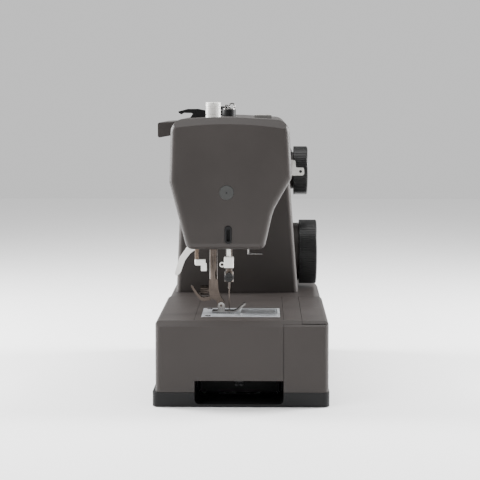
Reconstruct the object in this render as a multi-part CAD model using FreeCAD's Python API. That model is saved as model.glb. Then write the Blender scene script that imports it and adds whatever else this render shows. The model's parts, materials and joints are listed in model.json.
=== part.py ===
import FreeCAD
import Part
import math
import os

# Household sewing machine with a free arm, a wrap-round accessory tray and a drop-in bobbin.
# Millimetres. +X runs from the needle end to the handwheel, -Y faces the operator, +Z is up.
# The origin is under the middle of the machine, on the surface that it stands on.

# Overall sizes
overall_length = 386.0
base_depth = 172.0
bed_height = 84.0
sewing_gap = 68.0
base_height = 14.5
base_step_front = 1.0
base_step_rear = 3.0
foot_drop = 0.6
foot_radius = 7.0
wall = 2.5

# Clearances, and how far a cut reaches past the face it opens or past the whole machine
seam = 0.4
slip = 0.3
running = 0.05
over = 1.0
far = 200.0

# Lengths along the machine, from the left end to the head and from the handwheel back to the tray
face_left = 15.0
face_depth = 22.0
threader_in = 45.0
buttonhole_in = 50.0
needle_in = 62.0
frame_head_in = 86.0
head_right = 110.0
handwheel_thick = 26.0
handwheel_gap = 5.6
side_cover_depth = 6.0
pillar_length = 122.0
tray_gap = 36.0
tray_web = 7.0

# Places of the drive and the controls, measured back from the pillar's right face
drive_back = 17.0
reverse_back = 18.0
frame_back = 36.0
winder_back = 42.0
timing_back = 56.0
dial_back = 61.0

# Places across the machine
needle_y = 12.8
presser_spacing = 15.6
arm_front_edge = -41.4
arm_rear_edge = 45.8
cover_split_y = 14.0
door_edge_y = -59.0
buttonhole_y = 44.6
winder_y = 36.0

# Heights that follow the bed and the head
arm_underside = bed_height - 58.0
head_bottom = bed_height + sewing_gap
arm_bottom = head_bottom + 38.0
shaft_height = head_bottom + 73.0
top_split_z = head_bottom + 110.0
lower_shaft_height = bed_height - 41.0

# Head outline, seen from the needle end: place across, height and corner radius
head_rear_top = (68.0, head_bottom + 126.0, 13.0)
head_rear_wide = (69.8, head_bottom + 65.0, 10.0)
head_rear_foot = (53.0, head_bottom, 7.5)
head_front_foot = (-22.5, head_bottom, 7.5)
head_front_waist = (-31.0, head_bottom + 38.0, 50.0)
head_front_wide = (-49.2, head_bottom + 69.7, 7.5)
head_front_top = (-46.3, head_bottom + 125.0, 13.0)
crown_radius = 350.0
head_crown = (14.0, head_bottom + 128.5, crown_radius)
pillar_rear_foot = 75.6
pillar_front_foot = -59.6
pillar_waist_radius = 40.0
pillar_edge_radius = 5.0
face_round = 6.5
crease_setback = 7.0

# Tray and bed
tray_round = 6.0
tray_edge_radius = 4.0
bed_round = 26.0
bed_edge_radius = 9.0
crease_drop = 5.0
crease_run = 8.0
hinge_pin_radius = 0.5
hinge_barrel_radius = 1.2
hinge_barrel_length = 5.2
hinge_lug_half = 1.5
plate_thick = 1.6
plate_stand = 0.2
feed_spacing = 6.5

# Needle, presser and take-up
needle_bar_radius = 3.2
presser_bar_radius = 4.0
slim_rod_radius = 2.0
needle_tip = bed_height - 2.0
clamp_height = bed_height + 36.7
socket_top = bed_height + 35.5
bar_top = head_bottom + 90.0
crank_throw = 16.5
crank_disc_radius = 24.0
crank_pin_radius = 3.0
link_length = 45.0
rest_drop = 12.0
take_up_pivot_y = -20.0
take_up_pivot_z = head_bottom + 62.0
take_up_pin_radius = 3.0
lifter_pin_radius = 3.0
ankle_screw_height = bed_height + 22.9
foot_pin_radius = 1.2
rocker_pin_radius = 1.2
foot_stand = 1.0
spring_low = head_bottom + 38.9
spring_length = 12.0

# Shafts, gears and belts
main_shaft_radius = 5.0
lower_shaft_radius = 3.5
bush_wall = 3.0
lower_bush_wall = 2.5
hook_offset = 18.0
hook_radius = 17.2
hook_shaft_radius = 3.0
hook_gear_radius = 6.0
hook_gear_teeth = 12
shaft_gear_teeth = 24
gear_face = 4.0
hook_floor = bed_height - 22.4
timing_radius = 15.0
timing_width = 8.0
belt_thickness = 2.0
belt_width = 7.0
flange_rise = 2.5
flange_width = 1.5
drive_pulley_radius = 27.0
motor_pulley_radius = 7.2
motor_radius = 24.0
motor_length = 52.0
motor_shaft_radius = 2.5

# Dials, handwheel and top
selector_radius = 36.5
selector_thick = 20.0
selector_height = bed_height + 40.0
reverse_height = head_bottom + 48.0
selector_shaft_radius = 6.0
selector_bezel_radius = 33.0
length_dial_radius = 27.5
length_dial_thick = 16.0
length_dial_height = head_bottom + 65.0
length_shaft_radius = 4.0
length_boss_radius = 21.0
dial_rib_depth = 0.7
dial_edge = 2.0
handwheel_radius = 35.0
handwheel_hub_radius = 12.0
handle_rear = 85.9
handle_pin_radius = 3.0
handle_arm_width = 10.0
tension_radius = 11.2
tension_pin_radius = 1.5
pressure_radius = 7.5
pressure_top = head_bottom + 142.6
winder_radius = 3.0
drum_radius = 7.0
drum_top = head_bottom + 135.4
face_cap_radius = 7.0

# Derived places
left_end = -overall_length / 2
half_depth = base_depth / 2
body_front = -half_depth + base_step_front
body_rear = half_depth - base_step_rear
needle_x = left_end + needle_in
presser_y = needle_y + presser_spacing
hook_y = needle_y - hook_offset
face_x = left_end + face_left
head_x = face_x + face_depth
head_end_x = left_end + head_right
handwheel_x = -left_end - handwheel_thick
shaft_end_x = -left_end - 8.0
side_cover_end_x = handwheel_x - handwheel_gap
bed_end_x = side_cover_end_x - 1.0
pillar_end_x = side_cover_end_x - side_cover_depth - seam
pillar_x = pillar_end_x - pillar_length
tray_end_x = pillar_x - tray_gap
dial_x = pillar_end_x - dial_back
timing_x = pillar_end_x - timing_back
drive_x = pillar_end_x - drive_back
reverse_x = pillar_end_x - reverse_back
winder_x = pillar_end_x - winder_back
threader_x = left_end + threader_in
buttonhole_x = left_end + buttonhole_in
lamp_x = needle_x + 16.0
bush_radius = main_shaft_radius + bush_wall
lower_bush_radius = lower_shaft_radius + lower_bush_wall
link_x0 = needle_x + 6.6
link_x1 = needle_x + 10.0
frame_head_x = left_end + frame_head_in
frame_first_x = pillar_x + 6.0
frame_second_x = pillar_end_x - frame_back
frame_plate = 8.0
door_axis_y = body_front + 0.3
door_axis_z = base_height + 2.7
foot_pivot_y = presser_y - 7.8
foot_pivot_z = bed_height + 8.0
lifter_x = needle_x + 16.0
lifter_z = head_bottom + 12.0
tension_y = -39.0
tension_z = head_bottom + 91.0
tension_x = needle_x + 19.0
motor_y = 44.0
motor_z = bed_height - 27.0
handle_y = 48.0
handle_z = head_bottom + 116.5
handle_arms = (left_end + 92.0, pillar_x + 12.0)
face_cap_y = needle_y + 1.3
face_cap_z = head_bottom + 55.5
drum_x = head_end_x + 10.0
drum_y = 14.2
inlet_y = -36.0
switch_y = -2.0
socket_z = bed_height - 28.0


def vec(x, y, z):
    return FreeCAD.Vector(x, y, z)


def box(x0, x1, y0, y1, z0, z1):
    return Part.makeBox(x1 - x0, y1 - y0, z1 - z0, vec(x0, y0, z0))


def rod_x(x0, x1, y, z, radius):
    return Part.makeCylinder(radius, x1 - x0, vec(x0, y, z), vec(1, 0, 0))


def rod_y(y0, y1, x, z, radius):
    return Part.makeCylinder(radius, y1 - y0, vec(x, y0, z), vec(0, 1, 0))


def rod_z(z0, z1, x, y, radius):
    return Part.makeCylinder(radius, z1 - z0, vec(x, y, z0), vec(0, 0, 1))


def fuse(shapes):
    first = shapes[0]
    return first.fuse(shapes[1:]).removeSplitter() if len(shapes) > 1 else first


def largest(shape):
    return max(shape.Solids, key=lambda s: s.Volume)


def topmost(shape):
    return max(shape.Solids, key=lambda s: s.BoundBox.ZMax)


def rounded_wire(corners, place):
    # A closed outline of straight runs; each corner is (a, b, radius) and place makes it a point.
    count = len(corners)
    edges = []
    ends = []
    for i in range(count):
        a, b, radius = corners[i]
        here = vec(a, b, 0)
        before = vec(corners[i - 1][0], corners[i - 1][1], 0)
        after = vec(corners[(i + 1) % count][0], corners[(i + 1) % count][1], 0)
        inward = (before - here).normalize()
        outward = (after - here).normalize()
        if radius <= 0:
            ends.append((here, None, here))
            continue
        half = inward.getAngle(outward) / 2
        reach = radius / math.tan(half)
        middle = (inward + outward).normalize() * (radius / math.sin(half) - radius)
        ends.append((here + inward * reach, here + middle, here + outward * reach))
    for i in range(count):
        start, mid, stop = ends[i]
        if mid is not None:
            edges.append(Part.Arc(place(start), place(mid), place(stop)).toShape())
        following = ends[(i + 1) % count][0]
        if (following - stop).Length > 1e-6:
            edges.append(Part.LineSegment(place(stop), place(following)).toShape())
    return Part.Wire(edges)


def across(x):
    # Places an outline of (y, z) points on the plane at x.
    return lambda p: vec(x, p.x, p.y)


def flat(z):
    # Places an outline of (x, y) points on the plane at z.
    return lambda p: vec(p.x, p.y, z)


def upright(y):
    # Places an outline of (x, z) points on the plane at y.
    return lambda p: vec(p.x, y, p.y)


def prism_x(corners, x0, x1, inset=0.0):
    wire = rounded_wire(corners, across(x0))
    if inset:
        wire = wire.makeOffset2D(-inset)
    return Part.Face(wire).extrude(vec(x1 - x0, 0, 0))


def prism_y(corners, y0, y1):
    return Part.Face(rounded_wire(corners, upright(y0))).extrude(vec(0, y1 - y0, 0))


def prism_z(corners, z0, z1, inset=0.0):
    wire = rounded_wire(corners, flat(z0))
    if inset:
        wire = wire.makeOffset2D(-inset)
    return Part.Face(wire).extrude(vec(0, 0, z1 - z0))


def fillet_where(shape, radius, chosen):
    edges = [e for e in shape.Edges if chosen(e)]
    return shape.makeFillet(radius, edges) if edges else shape


def along_at(edge, axis, value, reach=0.01):
    # True where both ends of an edge and its middle lie at one place along an axis.
    low = getattr(edge.BoundBox, axis + "Min")
    high = getattr(edge.BoundBox, axis + "Max")
    return abs(low - value) < reach and abs(high - value) < reach


def ribbed_dial(y0, y1, x, z, radius, ribs, edge):
    # A dial on a Y axis whose rim carries shallow half-round grooves.
    dial = rod_y(y0, y1, x, z, radius)
    dial = fillet_where(dial, edge, lambda e: along_at(e, "Y", y0))
    groove_share = 0.55
    groove = math.pi * radius / ribs * groove_share
    cuts = []
    for i in range(ribs):
        turn = 2 * math.pi * i / ribs
        out = radius + groove - dial_rib_depth
        cuts.append(rod_y(y0 - 1, y1 + 1, x + out * math.cos(turn), z + out * math.sin(turn), groove))
    return dial.cut(cuts)


def belt_loop(x0, x1, first, second, first_radius, second_radius, thickness):
    # A flat belt round two pulleys; first and second are (y, z) centres.
    def hull(extra):
        a = vec(0, first[0], first[1])
        b = vec(0, second[0], second[1])
        ra = first_radius + extra
        rb = second_radius + extra
        line = b - a
        base = math.atan2(line.z, line.y)
        spread = math.acos((ra - rb) / line.Length)
        points = []
        for centre, radius, turn in ((a, ra, base + spread), (a, ra, base - spread),
                                     (b, rb, base - spread), (b, rb, base + spread)):
            points.append(centre + vec(0, math.cos(turn), math.sin(turn)) * radius)
        back = a + vec(0, math.cos(base + math.pi), math.sin(base + math.pi)) * ra
        front = b + vec(0, math.cos(base), math.sin(base)) * rb
        edges = [Part.Arc(points[0], back, points[1]).toShape(),
                 Part.LineSegment(points[1], points[2]).toShape(),
                 Part.Arc(points[2], front, points[3]).toShape(),
                 Part.LineSegment(points[3], points[0]).toShape()]
        solid = Part.Face(Part.Wire(edges)).extrude(vec(x1 - x0, 0, 0))
        solid.translate(vec(x0, 0, 0))
        return solid
    return hull(thickness).cut(hull(0))

# Outer casing

def head_outline():
    return [head_rear_top, head_rear_wide, head_rear_foot, head_front_foot,
            head_front_waist, head_front_wide, head_front_top, head_crown]


def pillar_outline(bottom):
    return [head_rear_top, (head_rear_wide[0], head_rear_wide[1], pillar_waist_radius),
            (pillar_rear_foot, bottom, 0), (pillar_front_foot, bottom, 0),
            (head_front_wide[0], head_front_wide[1], pillar_waist_radius), head_front_top, head_crown]


def casing_solid(inset):
    # The head, arm and pillar as one closed form, drawn in by inset on every side that a cover walls.
    arm_overlap = 20.0
    hollow_drop = 10.0
    long_edge = 60.0
    harp = box(head_end_x - inset, pillar_x + inset, -far, far, 0, arm_bottom + inset)
    head = prism_x(head_outline(), head_x - inset, pillar_x + arm_overlap, inset).cut(harp)
    below = bed_height if inset == 0 else bed_height - hollow_drop
    pillar = prism_x(pillar_outline(below), pillar_x + inset, pillar_end_x + inset, inset)
    if inset == 0:
        pillar = fillet_where(pillar, pillar_edge_radius, lambda e: along_at(e, "X", pillar_x)
                              and e.Length > long_edge and e.BoundBox.ZLength > long_edge)
    return head.fuse(pillar)


def casing_shell():
    shell = casing_solid(0).cut(casing_solid(wall))
    shell = shell.cut(box(head_x - over, head_end_x - wall, -far, far, bed_height + slip, head_bottom + wall))
    return shell.cut(box(head_x - over, pillar_end_x + over, -far, far, 0, bed_height + slip))


def take_up_slot():
    side = 0.6
    width = 5.2
    return box(link_x1 - side, link_x1 - side + width, -far, -30.0, head_bottom + 40, head_bottom + 106)


def thread_slot():
    start = needle_x + 24.0
    return box(start, start + 4.0, -far, -30.0, head_bottom + 20, far * 2)


def lifter_notch(high):
    return box(lifter_x - 12, lifter_x + 48, 44.0, 62.0, 0, high)


def front_cover(shell):
    cover = shell.common(box(head_x, pillar_end_x, -far, cover_split_y - seam / 2,
                             0, top_split_z - seam / 2))
    cover = cover.cut([take_up_slot(), thread_slot()])
    cover = cover.cut(rod_y(-far, 0, dial_x, selector_height, selector_bezel_radius + slip))
    cover = cover.cut(rod_y(-far, 0, dial_x, length_dial_height, length_boss_radius + slip))
    cover = cover.cut(reverse_window())
    return cover.cut(tension_window())


def rear_cover(shell):
    cover = shell.common(box(head_x, pillar_end_x, cover_split_y + seam / 2, far,
                             0, top_split_z - seam / 2))
    cover = cover.cut(handle_channels(slip))
    return cover.cut(lifter_notch(head_bottom + 20))


def top_cover(shell):
    cover = shell.common(box(head_x, pillar_end_x, -far, far, top_split_z + seam / 2, far * 2))
    cover = cover.cut(handle_channels(slip))
    cover = cover.cut(thread_slot())
    for x, y, radius in top_holes():
        cover = cover.cut(rod_z(top_split_z, far * 2, x, y, radius))
    return cover


def face_cover():
    # The end shell of the head: rounded all round, with a crisp sloping facet along its crowned top.
    crown_wall = wall * 1.6
    cap_fit = 0.15

    def rounded(inset):
        start = face_x + inset
        solid = prism_x(head_outline(), start, head_x - seam + inset, inset)
        return fillet_where(solid, face_round - inset, lambda e: along_at(e, "X", start))

    def crowned(shift):
        # The space behind the sloping facet, moved in by shift.
        start_radius = crown_radius - crease_setback - shift - over
        length = face_depth + 2 * over
        return Part.makeCone(start_radius, start_radius + length, length,
                             vec(face_x - over, head_crown[0], head_crown[1] - crown_radius), vec(1, 0, 0))
    shell = rounded(0).common(crowned(0)).cut(rounded(wall).common(crowned(crown_wall)))
    shell = shell.cut(rod_x(face_x - over, face_x + crease_setback, face_cap_y, face_cap_z,
                            face_cap_radius + cap_fit))
    return shell.cut(cutter_pocket())


def face_cap():
    # Round plug over the face cover's screw, with a dimple at its centre.
    stand = 0.5
    edge = 0.4
    dimple = 0.8
    cap = rod_x(face_x - stand, face_x + wall, face_cap_y, face_cap_z, face_cap_radius)
    cap = fillet_where(cap, edge, lambda e: along_at(e, "X", face_x - stand))
    return cap.cut(rod_x(face_x - over, face_x + dimple, face_cap_y, face_cap_z, dimple))


def cutter_outline(grow):
    # A tall capsule low on the face.
    half = 3.3 + grow
    round_end = half * 0.98
    y = needle_y - 0.2
    low = head_bottom + 5.8 - grow
    high = head_bottom + 23.2 + grow
    return [(y - half, low, round_end), (y + half, low, round_end),
            (y + half, high, round_end), (y - half, high, round_end)]


def cutter_pocket():
    fit = 0.2
    return prism_x(cutter_outline(fit), face_x - over, face_x + 10)


def thread_cutter():
    # Pocket that holds the thread against the blade: a capsule with a throat and a lip.
    stand = 0.6
    lip_stand = 1.4
    body = prism_x(cutter_outline(0), face_x - stand, face_x + 8)
    throat = box(face_x - 2, face_x + 4.5, needle_y - 1.9, needle_y + 1.5,
                 head_bottom + 8, head_bottom + 19.5)
    lip = box(face_x - lip_stand, face_x - stand, needle_y - 2.2, needle_y + 1.8,
              head_bottom + 20.2, head_bottom + 22.4)
    return fuse([body.cut(throat), lip])


def head_floor():
    # Black plate that closes the underside of the head round the needle and presser bars.
    low = head_bottom - over
    high = head_bottom + wall + over
    lamp_fit = 0.2
    plate = prism_x(head_outline(), head_x + slip, head_end_x - wall - slip, slip)
    plate = plate.common(box(head_x, head_end_x, -far, far, head_bottom, head_bottom + wall - slip))
    cuts = [rod_z(low, high, needle_x, needle_y, needle_bar_radius + 2.2),
            rod_z(low, high, needle_x, presser_y, presser_bar_radius + 1.2),
            box(threader_x - 4, threader_x + 4, needle_y - 4, needle_y + 4, low, high),
            box(buttonhole_x - 5, buttonhole_x + 5, buttonhole_y - 4.6, buttonhole_y + 15.4, low, high),
            lifter_notch(high),
            lamp_block(lamp_fit, low, high),
            rod_z(low, high, wire_guide_place()[0], wire_guide_place()[1], 1.0)]
    return plate.cut(cuts)


def lamp_block(grow, low, high):
    return box(lamp_x - 8 - grow, lamp_x + 8 + grow, -14 - grow, 4 + grow, low, high)


def led_lamp():
    drop = 1.2
    edge = 1.0
    lens = lamp_block(0, head_bottom - drop, head_bottom + 5)
    return fillet_where(lens, edge, lambda e: along_at(e, "Z", head_bottom - drop))


def side_cover():
    # End shell over the belt, with the opening for the handwheel's hub.
    start = pillar_end_x + seam
    edge = 4.0
    hub_gap = 2.0

    def form(inset):
        return prism_x(pillar_outline(bed_height + slip + inset), start - inset,
                       side_cover_end_x - inset, inset)
    shell = fillet_where(form(0), edge, lambda e: along_at(e, "X", side_cover_end_x)
                         and e.BoundBox.ZMax > bed_height + 5)
    shell = shell.cut(form(wall))
    return shell.cut(rod_x(start - over, side_cover_end_x + over, needle_y, shaft_height,
                           handwheel_hub_radius + hub_gap))


# Bed, base and tray

def rounded_rectangle(x0, x1, y0, y1, radius):
    return [(x0, y0, radius), (x1, y0, radius), (x1, y1, radius), (x0, y1, radius)]


def lower_plan(x0, x1, left_round, right_round, front, rear):
    return [(x0, front, left_round), (x1, front, right_round),
            (x1, rear, right_round), (x0, rear, left_round)]


def bed_top_rounded(shape, radius):
    return fillet_where(shape, radius, lambda e: along_at(e, "Z", bed_height)
                        and not along_at(e, "X", tray_end_x + seam)
                        and not along_at(e, "X", tray_end_x))


def bed_cover():
    # The free arm and the wide bed under the pillar, one shell that is open underneath.
    plate_fit = 0.2
    plate_ledge = 2.5

    def form(inset):
        low = base_height + slip if inset == 0 else 0
        plan = lower_plan(tray_end_x + seam, bed_end_x, 0, bed_round, body_front, body_rear)
        wide = prism_z(plan, low, bed_height - inset, inset)
        if inset == 0:
            wide = bed_top_rounded(wide, bed_edge_radius)
        reach = pillar_x if inset == 0 else pillar_x + 10
        arm = box(left_end + tray_web + slip + inset, reach, arm_front_edge + slip + inset,
                  arm_rear_edge - slip - inset, arm_underside + inset, bed_height - inset)
        return wide.fuse(arm)
    shell = form(0).cut(form(wall))
    x0, x1, y0, y1 = plate_place(plate_fit)
    shell = shell.cut(box(x0, x1, y0, y1, bed_height - plate_thick, bed_height + over))
    shell = shell.cut(box(x0 + plate_ledge, x1 - plate_ledge, y0 + plate_ledge, y1 - plate_ledge,
                          bed_height - wall - over, bed_height + over))
    shell = shell.cut([socket_cut(inlet_y, 14.2, 9.2), socket_cut(switch_y, 8.2, 12.2)])
    return shell.cut(box(pillar_x + 4, pillar_end_x - 4, pillar_front_foot + 8, pillar_rear_foot - 8,
                         bed_height - wall - over, bed_height + over))


def plate_place(grow=0.0):
    return (needle_x - 30 - grow, needle_x + 33 + grow, -38.0 - grow, 39.6 + grow)


def needle_plate():
    # Steel plate with the needle hole, feed slots, seam guide lines and the bobbin opening.
    corner = 3.0
    opening_corner = 4.0
    hole_half = 3.5
    hole_side = 0.9
    slot_half = 1.6
    line_half = 0.25
    line_depth = 0.1
    line_step = 4.0
    low = bed_height - plate_thick - over
    high = bed_height + over
    plate = prism_z(rounded_rectangle(*plate_place(), corner), bed_height - plate_thick,
                    bed_height + plate_stand)
    cuts = [prism_z(rounded_rectangle(needle_x - hole_half, needle_x + hole_half, needle_y - hole_side,
                                      needle_y + hole_side, hole_side - running), low, high)]
    for side in (-1, 1):
        x = needle_x + side * feed_spacing
        cuts.append(box(x - slot_half, x + slot_half, needle_y - 9, needle_y + 17, low, high))
    cuts.append(box(needle_x - 1.4, needle_x + 1.4, needle_y + 4, needle_y + 17, low, high))
    opening = rounded_rectangle(needle_x - 19, needle_x + 19, -33.0, 1.2, opening_corner)
    cuts.append(prism_z(opening, low, high))
    for i in range(5):
        x = needle_x + 12.5 + i * line_step
        cuts.append(box(x - line_half, x + line_half, needle_y - 5, needle_y + 22,
                        bed_height - line_depth, high))
    for x, y in plate_screw_places():
        cuts.append(rod_z(low, high, x, y, 2.1))
        cuts.append(rod_z(bed_height - 0.6, high, x, y, 3.6))
    return plate.cut(cuts)


def plate_screw_places():
    return ((needle_x - 24, 33.0), (needle_x + 27, 33.0))


def plate_screws():
    seat = bed_height - 0.6
    slot_half = 0.4
    made = []
    for x, y in plate_screw_places():
        head = rod_z(seat, bed_height + 0.5, x, y, 3.4)
        shank = rod_z(bed_height - 7, seat, x, y, 1.9)
        slot = box(x - 4, x + 4, y - slot_half, y + slot_half, bed_height, bed_height + over)
        made.append(fuse([head, shank]).cut(slot))
    return Part.makeCompound(made)


def bobbin_cover():
    # Clear slide plate over the bobbin, with raised finger ribs at its front.
    low = bed_height + slip
    thick = 1.5
    rib_rise = 0.6
    rib_width = 0.8
    rib_step = 1.6
    front = -35.5
    sheet = prism_z(rounded_rectangle(needle_x - 21, needle_x + 21, front, 0.6, 3.0), low, low + thick)
    ribs = []
    for i in range(3):
        y = front + 1.9 + i * rib_step
        ribs.append(box(needle_x - 6, needle_x + 6, y, y + rib_width, low + thick, low + thick + rib_rise))
    return fuse([sheet] + ribs)


def base_pan():
    # Black tub under the pillar, with a tongue that carries the free arm inside the tray.
    tongue_x = needle_x - 2
    tongue_gap = 4.0
    tongue_wall = 3.0
    tongue_low = 4.0

    def form(inset):
        high = base_height if inset == 0 else base_height + over
        plan = lower_plan(tray_end_x + seam, side_cover_end_x, 0, bed_round, -half_depth, half_depth)
        return prism_z(plan, foot_drop + inset, high, inset)
    pan = form(0).cut(form(wall))
    tongue = box(tongue_x, tray_end_x + seam, arm_front_edge + tongue_gap, arm_rear_edge - tongue_gap,
                 tongue_low, tongue_top())
    side = tongue_gap + tongue_wall
    inside = box(tongue_x + tongue_wall, tray_end_x + seam - wall, arm_front_edge + side,
                 arm_rear_edge - side, tongue_low + tongue_wall, bed_height)
    pan = fuse([pan, tongue.cut(inside)])
    for x, y, top in foot_places():
        pan = pan.cut(rod_z(-over, top, x, y, foot_radius))
    return pan


def tongue_top():
    return base_height - 0.5


def foot_places():
    # Two feet under the tongue and four under the pan, each with the height of its seat.
    front = needle_x + 12
    middle = tray_end_x + 24
    back = pillar_end_x - 22
    tongue_seat = 5.4
    pan_seat = foot_drop + 1.4
    return ((front, -26.0, tongue_seat), (front, 30.0, tongue_seat), (middle, -70.0, pan_seat),
            (middle, 70.0, pan_seat), (back, -62.0, pan_seat), (back, 62.0, pan_seat))


def rubber_feet():
    return Part.makeCompound([rod_z(0, top, x, y, foot_radius) for x, y, top in foot_places()])


def base_screws():
    # Pan-head screws that hold the base pan to the frame.
    seat = foot_drop + wall
    made = []
    for x in (tray_end_x + 40, pillar_end_x - 50):
        for y in (-40.0, 46.0):
            made.append(rod_z(seat, seat + 2, x, y, 4))
    return Part.makeCompound(made)


def tray_form(inset):
    # The tray's outer form, its top sloping down towards the needle end.
    low = base_height + slip if inset == 0 else base_height - over
    plan = lower_plan(left_end, tray_end_x, tray_round, 0, body_front, body_rear)
    body = prism_z(plan, low, bed_height - inset, inset)
    if inset == 0:
        body = bed_top_rounded(body, tray_edge_radius)
    start = left_end + inset
    crease = bed_height - crease_drop - inset
    slope = [(start - over, crease, 0), (start - over, bed_height + 5, 0),
             (start + crease_run, bed_height + over - inset, 0), (start, crease, 0)]
    return body.cut(prism_y(slope, -half_depth - over, half_depth + over))


def tray_arm_space(grow):
    return box(left_end + tray_web - grow, tray_end_x + 5, arm_front_edge - grow,
               arm_rear_edge + grow, 0, far)


def notch_edge():
    return arm_rear_edge - 0.8


def finger_notch():
    return box(left_end - over, left_end + tray_web + over, arm_front_edge, notch_edge(), 0, arm_underside)


def tray_walls():
    # The U-shaped tray as a thin-walled form, before its door is parted from it.
    solid = tray_form(0).cut(tray_arm_space(0))
    hollow = tray_form(wall).cut(tray_arm_space(wall))
    return solid.cut(hollow).cut(finger_notch())


def door_region():
    # The front, the end and a strip of the top, without what stays behind them.
    front_y = -half_depth - over
    inner_y = body_front + wall
    roof = bed_height - wall
    front = box(left_end - over, tray_end_x + over, front_y, door_edge_y, base_height, bed_height + over)
    end = box(left_end - over, left_end + wall, front_y, arm_front_edge - 0.1, base_height, bed_height + over)
    keep = box(left_end + wall, tray_end_x + over, inner_y, door_edge_y, base_height, roof)
    right_wall = box(tray_end_x - wall, tray_end_x + over, inner_y, door_edge_y, 0, roof)
    return front.fuse(end).cut([keep, right_wall])


def tray_body():
    front_y = -half_depth - over
    high = bed_height + over
    body = tray_walls().cut(door_region())
    cuts = [box(left_end - over, left_end + wall + slip, front_y, arm_front_edge + slip, 0, high),
            box(left_end - over, left_end + 12, front_y, door_edge_y, 0, high),
            box(tray_end_x - wall - over, tray_end_x + over, -half_depth, body_front + wall + 2.2,
                0, bed_height - wall)]
    return largest(body.cut(cuts))


def tray_door():
    # Corner door of the accessory compartment: front, end and a strip of the top.
    roof = bed_height - wall
    top_gap = box(left_end - over, tray_end_x + over, door_edge_y - seam, 0, roof - over, bed_height + over)
    end_wall = box(left_end - far, left_end + wall, -far, 0, 0, far)
    right_gap = box(tray_end_x - wall - slip, tray_end_x + over, body_front + wall, 0, 0, roof)
    door = tray_walls().common(door_region())
    door = largest(door.cut([top_gap.cut(end_wall), right_gap]))
    reach = hinge_lug_half + slip
    for x in hinge_places():
        notch = box(x - reach, x + reach, -far, body_front + wall + over, 0, door_axis_z + 2)
        barrel = rod_x(x - reach - hinge_barrel_length, x + reach + hinge_barrel_length,
                       door_axis_y, door_axis_z, hinge_barrel_radius)
        bore = hinge_pin(x, slip, hinge_pin_radius + running)
        door = door.fuse(barrel).cut([notch, bore])
    return door


def hinge_places():
    inset = 30.0
    return (left_end + inset, tray_end_x - inset)


def hinge_pin(x, longer, radius):
    half = hinge_lug_half + 3.5 + longer
    return rod_x(x - half, x + half, door_axis_y, door_axis_z, radius)


def hinge_lug(x):
    # Post on the tray's foot with the cross pin that the door swings on.
    side = 0.9
    post = box(x - hinge_lug_half, x + hinge_lug_half, door_axis_y - side, door_axis_y + side,
               base_height - over, door_axis_z + side)
    return fuse([post, hinge_pin(x, 0, hinge_pin_radius)])


def tray_base():
    # Black foot of the tray, with the finger recess at the needle end.
    stand = foot_drop + 0.2
    recess_floor = 3.0
    recess_round = 5.0
    pocket_floor = 4.0
    pocket_gap = 4.0
    plan = lower_plan(left_end, tray_end_x, tray_round, 0, -half_depth, half_depth)
    solid = prism_z(plan, stand, base_height)
    solid = solid.cut(box(left_end + 55, tray_end_x + over, arm_front_edge + 2, arm_rear_edge - 2, 0, far))
    recess = [(arm_front_edge, recess_floor, recess_round), (notch_edge(), recess_floor, recess_round),
              (notch_edge(), bed_height, 0), (arm_front_edge, bed_height, 0)]
    solid = solid.cut(prism_x(recess, left_end - over, left_end + 60))
    pockets = []
    for y0, y1 in ((-half_depth + wall, arm_front_edge - pocket_gap),
                   (arm_rear_edge + pocket_gap, half_depth - wall)):
        pockets.append(box(left_end + 10, tray_end_x - wall, y0, y1, pocket_floor, bed_height))
    return fuse([solid.cut(pockets)] + [hinge_lug(x) for x in hinge_places()])


def tray_latch():
    # Two-pronged catch on the tongue that the tray clips over.
    x = needle_x - 2
    y0 = -1.6
    y1 = 7.0
    top = tongue_top() + 3.5
    prong_z = tongue_top() - 1.4
    plate = box(x - 3, x, y0, y1, tongue_top() - 3, top)
    ledge = box(x, x + 3, y0, y1, tongue_top(), top)
    prongs = [rod_x(x - 9, x - 3, y, prong_z, 1.3) for y in (0.2, 5.2)]
    return fuse([plate, ledge] + prongs)


# Frame, shafts and drive

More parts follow.
